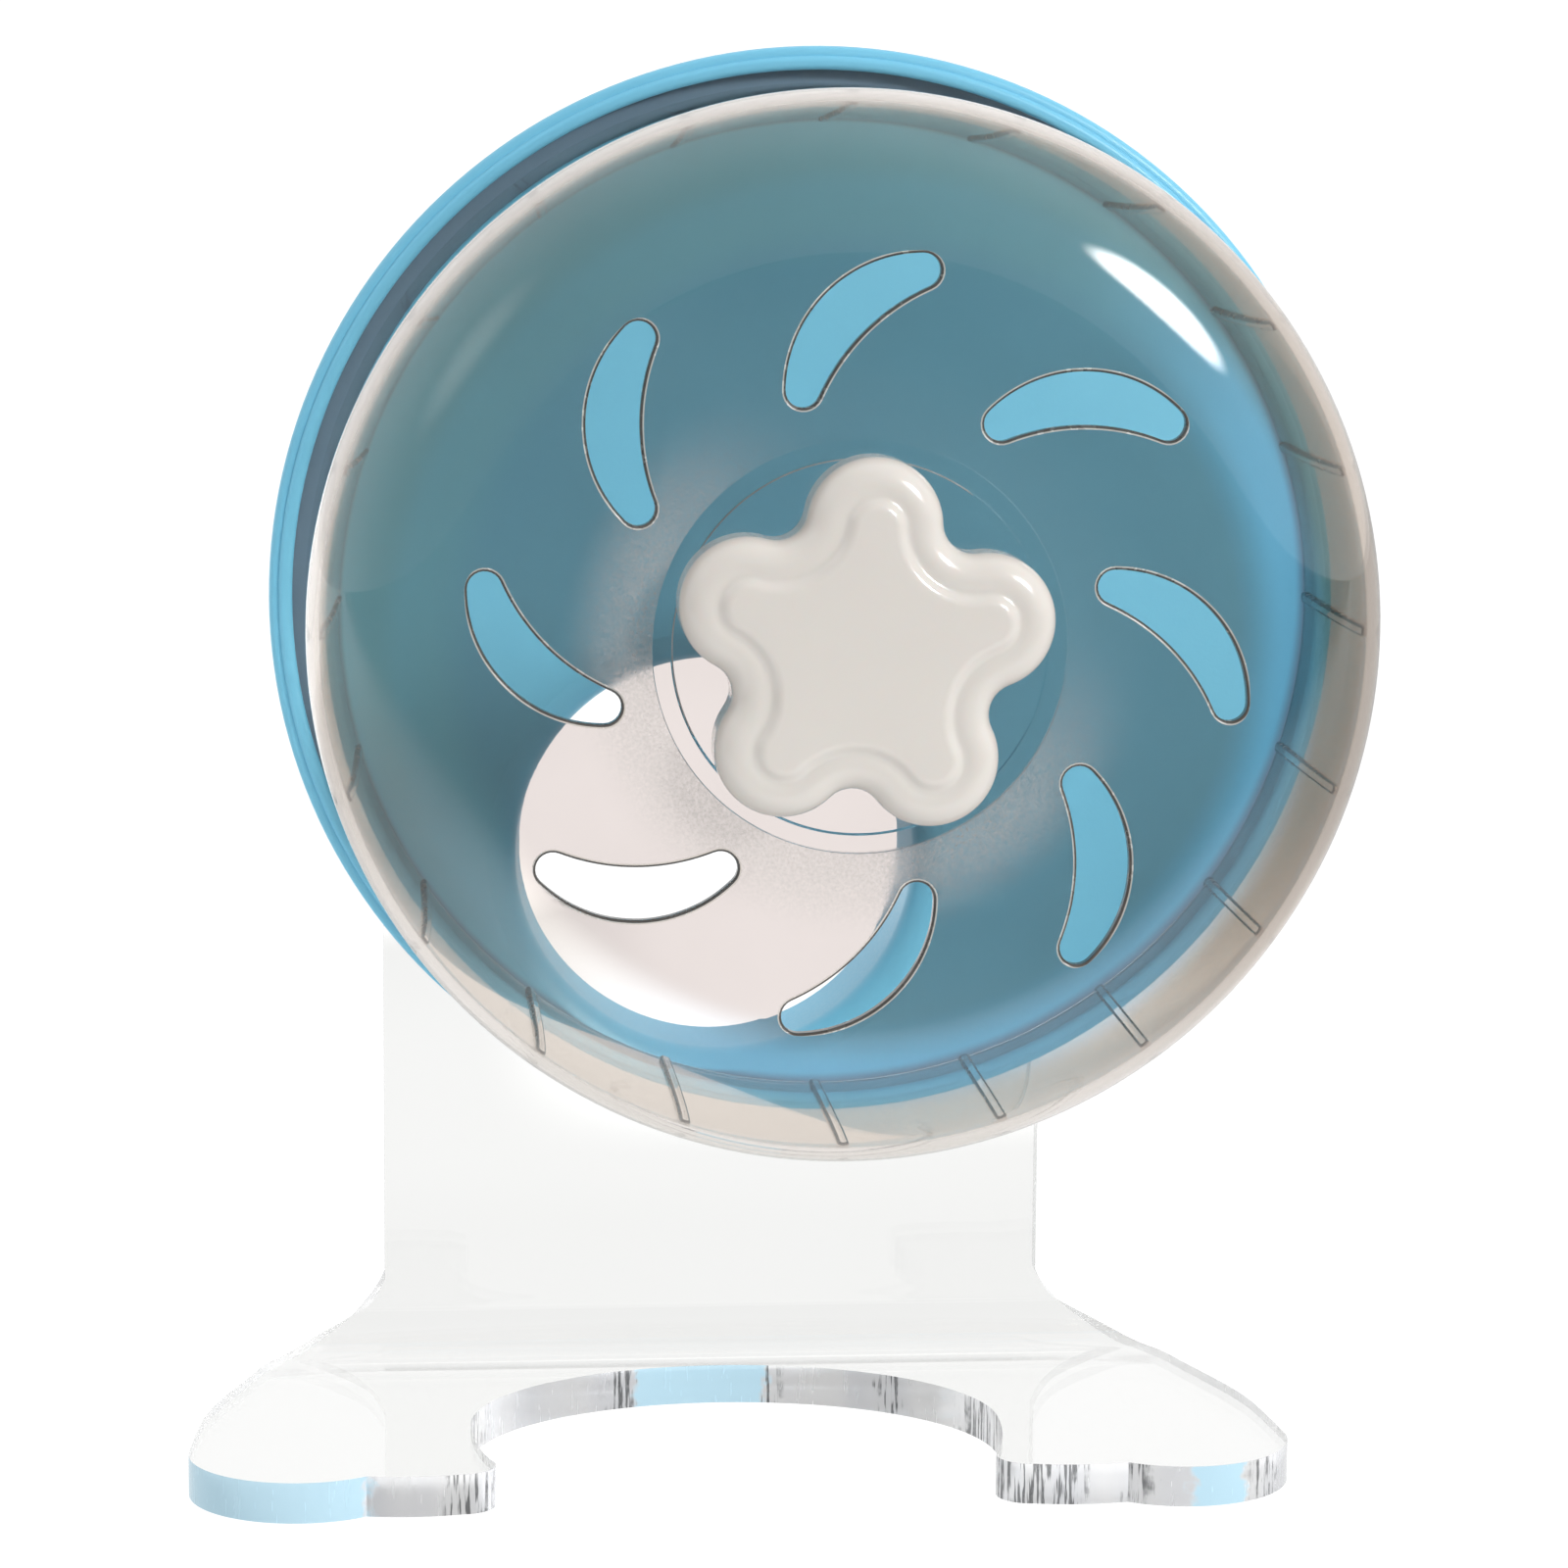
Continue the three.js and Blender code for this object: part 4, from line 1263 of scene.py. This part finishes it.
def glowing_floor():
    """A floor that looks evenly white, and lights the object more from behind than from the front."""
    bpy.ops.object.select_all(action="DESELECT")
    bpy.ops.mesh.primitive_plane_add(size=40, location=(0, 0, -seat_gap))
    floor = bpy.context.object
    floor.name = "white_floor"
    bpy.ops.object.transform_apply(location=True, rotation=True, scale=True)
    shape()
    select()
    bpy.ops.mesh.subdivide(number_cuts=3)
    leave()
    material = bpy.data.materials.new("white_sweep")
    material.use_nodes = True
    material.node_tree.nodes.remove(material.node_tree.nodes["Principled BSDF"])
    across, away, _ = apart(material, place(material))
    behind = ranged(material, away, 0.23, 0.36, 0, 0.68)
    far_off = ranged(material, away, 0.52, 0.65, 0, 1)
    left = maths(material, "MAXIMUM", ranged(material, across, -0.04, 0.03, 0, 1), far_off)
    right = ranged(material, across, 0.16, 0.32, 1, 0)
    dim = ranged(material, across, 0.15, 0.6, 0.3, 0.06)
    near = ranged(material, away, -0.7, -0.3, dim, 1.25)
    ahead = ranged(material, away, -0.2, -0.12, near, 0.97)
    far_right = ranged(material, across, 0.2, 0.42, 1, 0.8)
    patch = times(material, behind, left, right)
    glow = maths(material, "ADD", patch, times(material, ahead, far_right))
    seen = node(material, "ShaderNodeLightPath").outputs["Is Camera Ray"]
    strength = ranged(material, seen, 0, 1, glow, floor_white, "LINEAR")
    lamp = node(material, "ShaderNodeEmission", None, {"Strength": strength})
    link(material, lamp.outputs["Emission"], "Surface", "Material Output")
    floor.data.materials.append(material)


def soft_box(name, direction, distance, width, height, power, soft):
    """A lamp that looks at the wheel from a direction, and fades from a share of its width to its edge."""
    direction = Vector(direction).normalized()
    bpy.ops.object.light_add(type="AREA", location=lamp_aim + direction * distance)
    lamp = bpy.context.object
    lamp.name = name
    lamp.rotation_euler = (-direction).to_track_quat("-Z", "Y").to_euler()
    lamp.data.shape = "RECTANGLE"
    lamp.data.size = width
    lamp.data.size_y = height
    lamp.data.energy = power
    lamp.data.use_nodes = True
    spot = node(lamp.data, "ShaderNodeNewGeometry").outputs["Parametric"]
    off = vector_maths(lamp.data, "DISTANCE", "Value", {0: spot, 1: (0.5, 0.5, 0)})
    fade = ranged(lamp.data, off, soft, 0.5, 1, 0)
    link(lamp.data, fade, "Strength", "Emission")


def studio():
    """White walls all round, darker on the viewer's side."""
    world = bpy.data.worlds.new("studio")
    bpy.context.scene.world = world
    world.use_nodes = True
    world.node_tree.nodes["Background"].inputs["Color"].default_value = colour(1, 1, 1)
    outwards = node(world, "ShaderNodeTexCoord").outputs["Generated"]
    facing = towards(world, outwards, (0.1, 0.995, 0))
    link(world, ranged(world, facing, -1, 0, wall_dim, wall_white), "Strength", "Background")


def viewer():
    bpy.ops.object.camera_add(location=viewer_place)
    camera = bpy.context.object
    camera.name = "viewer"
    roll = Matrix.Rotation(viewer_roll, 3, viewer_aim)
    camera.rotation_euler = (roll @ viewer_aim.to_track_quat("-Z", "Y").to_matrix()).to_euler()
    camera.data.sensor_width = 36
    camera.data.lens = viewer_lens
    camera.data.clip_start = 0.01
    camera.data.clip_end = 50
    bpy.context.scene.camera = camera


glowing_floor()
soft_box("right_soft_box", (0.56, -0.71, 0.425), 1.1, 0.36, 0.34, 17, 0.2)
soft_box("left_soft_box", (-0.67, -0.55, 0.5), 1.2, 0.5, 0.6, 1, 0.1)
studio()
viewer()
bpy.context.scene.view_settings.view_transform = "Standard"
